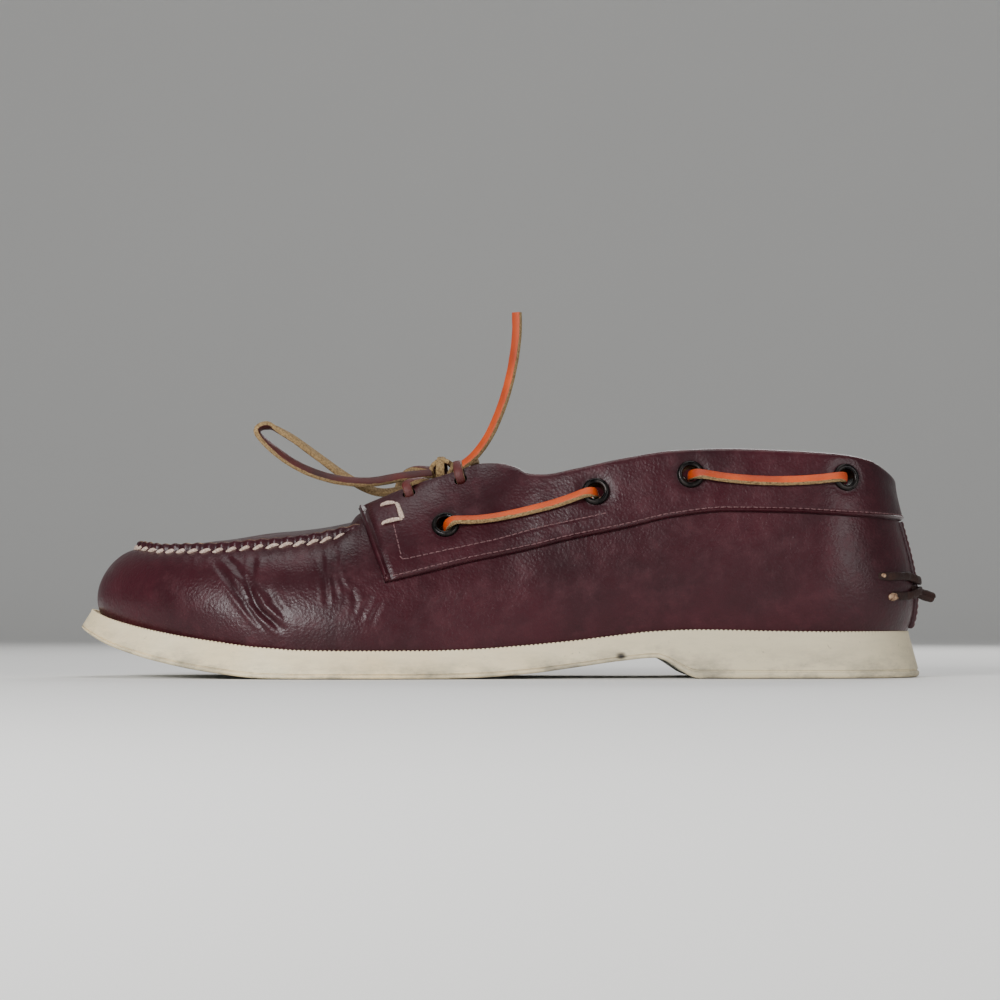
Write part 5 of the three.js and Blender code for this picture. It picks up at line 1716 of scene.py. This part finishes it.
lace = {"width": 3.1, "thickness": 1.9, "tilt": 34.0, "sag": 0.026,
        "climb": [(0.15, -1.9), (0.2, -0.6), (0.45, 0.9), (1.15, 2.6), (2.5, 3.95), (4.4, 4.45), (7.0, 4.0),
                  (10.0, 3.45)]}


def withFaces(points, faces, spacing):
    points = np.array(points, float)
    lengths = np.concatenate([[0], np.cumsum(np.linalg.norm(np.diff(points, axis=0), axis=1))])
    return smoothPath(points, spacing), [(share, tuple(face)) for share, face in zip(lengths / lengths[-1], faces)]


def makeRun(first, second, side):
    at0, up0 = eyeletTable["at"][first], eyeletTable["up"][first]
    at1, up1 = eyeletTable["at"][second], eyeletTable["up"][second]
    length = abs(at1 - at0) * shoe["length"]
    stations = [(s / length, off) for s, off in lace["climb"]]
    stations += [(t, 3.25) for t in (0.3, 0.4, 0.5, 0.6, 0.7)]
    stations += [(1 - s / length, off) for s, off in lace["climb"][::-1]]
    points, normals, ups = [], [], []
    for t, off in stations:
        angle = float(angleAt(at0 + (at1 - at0) * t)) * side
        height = (up0 + (up1 - up0) * t - lace["sag"] * math.sin(math.pi * t)) * shoe["collarHeight"]
        v = float(shareAtHeight(angle, height))
        points.append(skin(angle, v, off))
        normals.append(skinNormal(angle, v))
        ups.append(unit(section(angle, min(1, v + 0.03)) - section(angle, v - 0.03)))
    along = unit(points[-1] - points[0])
    tilt = math.radians(lace["tilt"])
    faces = []
    for k, (t, off) in enumerate(stations):
        lean = normals[k] * math.cos(tilt) + ups[k] * math.sin(tilt)
        s = min(t, 1 - t) * length
        away = -along if t < 0.5 else along
        mix = float(smoothStep(s, 0.4, 5.0))
        faces.append(away * (1 - mix) + lean * mix)
    path, faceList = withFaces(points, faces, 0.75)
    return ribbonShape(path, faceList, lace["width"], lace["thickness"], seed=first * 5 + (side > 0))


def makeRuns():
    for side, name in ((1, "lateral"), (-1, "medial")):
        for pair, label in (((0, 1), "front"), ((2, 3), "rear")):
            piece = ribbonPiece("run_%s_%s" % (name, label), [makeRun(pair[0], pair[1], side)], orangeLace)
            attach(piece, "root")
            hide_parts("lace_run_%s_%s" % (name, label))


makeRuns()

# Up from a wing hole: (out from the skin, up), then over the wing's edge to under the knot.
crossing = {"climb": [(-1.6, 0.0), (1.0, 0.0), (3.1, 1.1), (3.9, 3.0)], "apart": 1.5, "underKnot": 1.1,
            "edgeAlong": 0.3, "edgeAcross": 0.78, "edgeUp": 4.0}


def makeCrossing():
    strips = []
    centreZ = knot["place"][2] - knot["halfHeight"] - shoe["gap"] - crossing["underKnot"]
    for index, shift in ((1, crossing["apart"]), (0, -crossing["apart"])):
        centre = np.array([knot["place"][0] + shift, 0, centreZ])
        points, faces = [], []
        for side in (1, -1):
            angle = float(angleAt(wingHoles["at"][index])) * side
            v = 1 - wingHoles["down"]
            place, normal = skin(angle, v, 0.0), skinNormal(angle, v)
            upward = unit(section(angle, 1.0) - section(angle, v))
            top = topEdge(np.array(angle))
            edge = np.array([place[0] * (1 - crossing["edgeAlong"]) + centre[0] * crossing["edgeAlong"],
                             side * abs(place[1]) * crossing["edgeAcross"], top[2] + crossing["edgeUp"]])
            part = [place + normal * out + upward * up for out, up in crossing["climb"]] + [edge]
            look = [-upward, -upward * 0.8 + normal * 0.6, normal, normal, unit(normal + np.array([0, 0, 1.2]))]
            if side > 0:
                points, faces = part + [centre], look + [np.array([0, 0, 1.0])]
            else:
                points, faces = points + part[::-1], faces + look[::-1]
        path, faceList = withFaces(points, faces, 0.8)
        strips.append(ribbonShape(path, faceList, lace["width"], lace["thickness"], seed=20 + index))
    piece = ribbonPiece("crossing", strips, shadedRedLace)
    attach(piece, "root")
    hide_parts("lace_crossing")


makeCrossing()
print("eyelets and lace made")

# The tongue

tongue = {"rows": 64, "across": 34, "dive": 0.6, "front": 0.705, "tip": 0.3, "curve": 0.14, "unevenness": 0.35}


def makeTongue():
    at = np.linspace(0.475, tongue["front"], tongue["rows"])[:, None]
    q = np.linspace(-1, 1, tongue["across"])[None, :]
    wide = shoe["tongueHalfWidth"] * np.maximum(tongue["tip"], readTable(tongueTable, "across", at))
    y = q * wide
    x = np.maximum(at, shoe["throatAt"]) * shoe["length"]
    under = domeHeight(x, middle(x / shoe["length"]) + y) - shoe["wall"] - shoe["gap"]
    lift = readTable(tongueTable, "up", at) * shoe["collarHeight"] - tongue["curve"] * y ** 2 / shoe["tongueHalfWidth"]
    mix = smoothStep(at, tongue["dive"], shoe["throatAt"])
    z = lift * (1 - mix) + under * mix
    grid = np.stack([at * shoe["length"] * np.ones(y.shape), middle(at) + y, z], -1)
    wave = unevenness(grid, 0.07, tongue["unevenness"], 41)
    edge = np.sqrt(np.clip(1 - np.abs(q) ** 14, 0.02, 1)) * np.sqrt(np.clip((at - 0.4745) / 0.006, 0.02, 1))
    thick = shoe["tongueThickness"] / 2 * np.minimum(1, edge)
    outer, inner = grid.copy(), grid.copy()
    outer[..., 2] += thick - 1 + wave
    inner[..., 2] += -thick - 1 + wave
    rim = np.clip(np.abs(q) ** 30 * 0.8, 0, 1) * np.ones(at.shape)
    piece = shellPiece("tongueLeather", outer, inner, tongueLeather, sharp=65,
                       values={"raw": np.concatenate([rim * 0.9, rim * 0 + 1], 1)})
    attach(piece, "root")
    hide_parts("tongue")


makeTongue()
print("tongue made")

# The room: a pale floor that turns up into a backdrop, and soft lights

room = {"floorColour": linear(240, 239, 236), "worldColour": linear(238, 240, 242), "worldStrength": 0.27}


def makeRoom():
    material, tree, shader = startMaterial("paleFloor", 0.8)
    cloud = noiseValue(tree, objectPlace(tree), 3, 3)
    feed(tree, shader.inputs["Base Color"], blend(tree, mapValue(tree, cloud, 0.3, 0.7, 0, 0.06),
                                                  room["floorColour"], linear(205, 203, 200)))
    mesh = bpy.data.meshes.new("floor")
    profile = [(2.0, 0.0), (-1.6, 0.0)]
    for k in range(1, 13):
        turn = k / 12 * math.pi / 2
        profile.append((-1.6 - 0.9 * math.sin(turn), 0.9 - 0.9 * math.cos(turn)))
    profile.append((-2.5, 3.2))
    points = [(x, y, z - 0.0002) for y, z in profile for x in (-3.2, 3.2)]
    mesh.from_pydata(points, [], [(2 * k, 2 * k + 1, 2 * k + 3, 2 * k + 2) for k in range(len(profile) - 1)])
    mesh.materials.append(material)
    floor = bpy.data.objects.new("floor", mesh)
    scene.collection.objects.link(floor)
    mesh.polygons.foreach_set("use_smooth", [True] * len(mesh.polygons))
    world = bpy.data.worlds.new("studio")
    world.use_nodes = True
    background = world.node_tree.nodes["Background"]
    background.inputs["Color"].default_value = room["worldColour"]
    background.inputs["Strength"].default_value = room["worldStrength"]
    scene.world = world


lamps = {
    "key": {"place": (0.55, 1.0, 0.42), "size": 0.5, "power": 13},
    "fill": {"place": (-0.8, 0.85, 0.25), "size": 0.6, "power": 3.5},
    "top": {"place": (0.0, -0.1, 1.1), "size": 0.8, "power": 4},
    "rim": {"place": (-0.3, -0.9, 0.6), "size": 0.6, "power": 4},
}


def makeLamps():
    for name, lamp in lamps.items():
        data = bpy.data.lights.new(name, "AREA")
        data.shape = "RECTANGLE"
        data.size = lamp["size"]
        data.size_y = lamp["size"] * 0.7
        data.energy = lamp["power"]
        light = bpy.data.objects.new(name, data)
        light.location = lamp["place"]
        light.rotation_euler = (Vector((0, 0, 0.04)) - light.location).to_track_quat("-Z", "Y").to_euler()
        scene.collection.objects.link(light)


makeRoom()
makeLamps()
print("room and lights made")
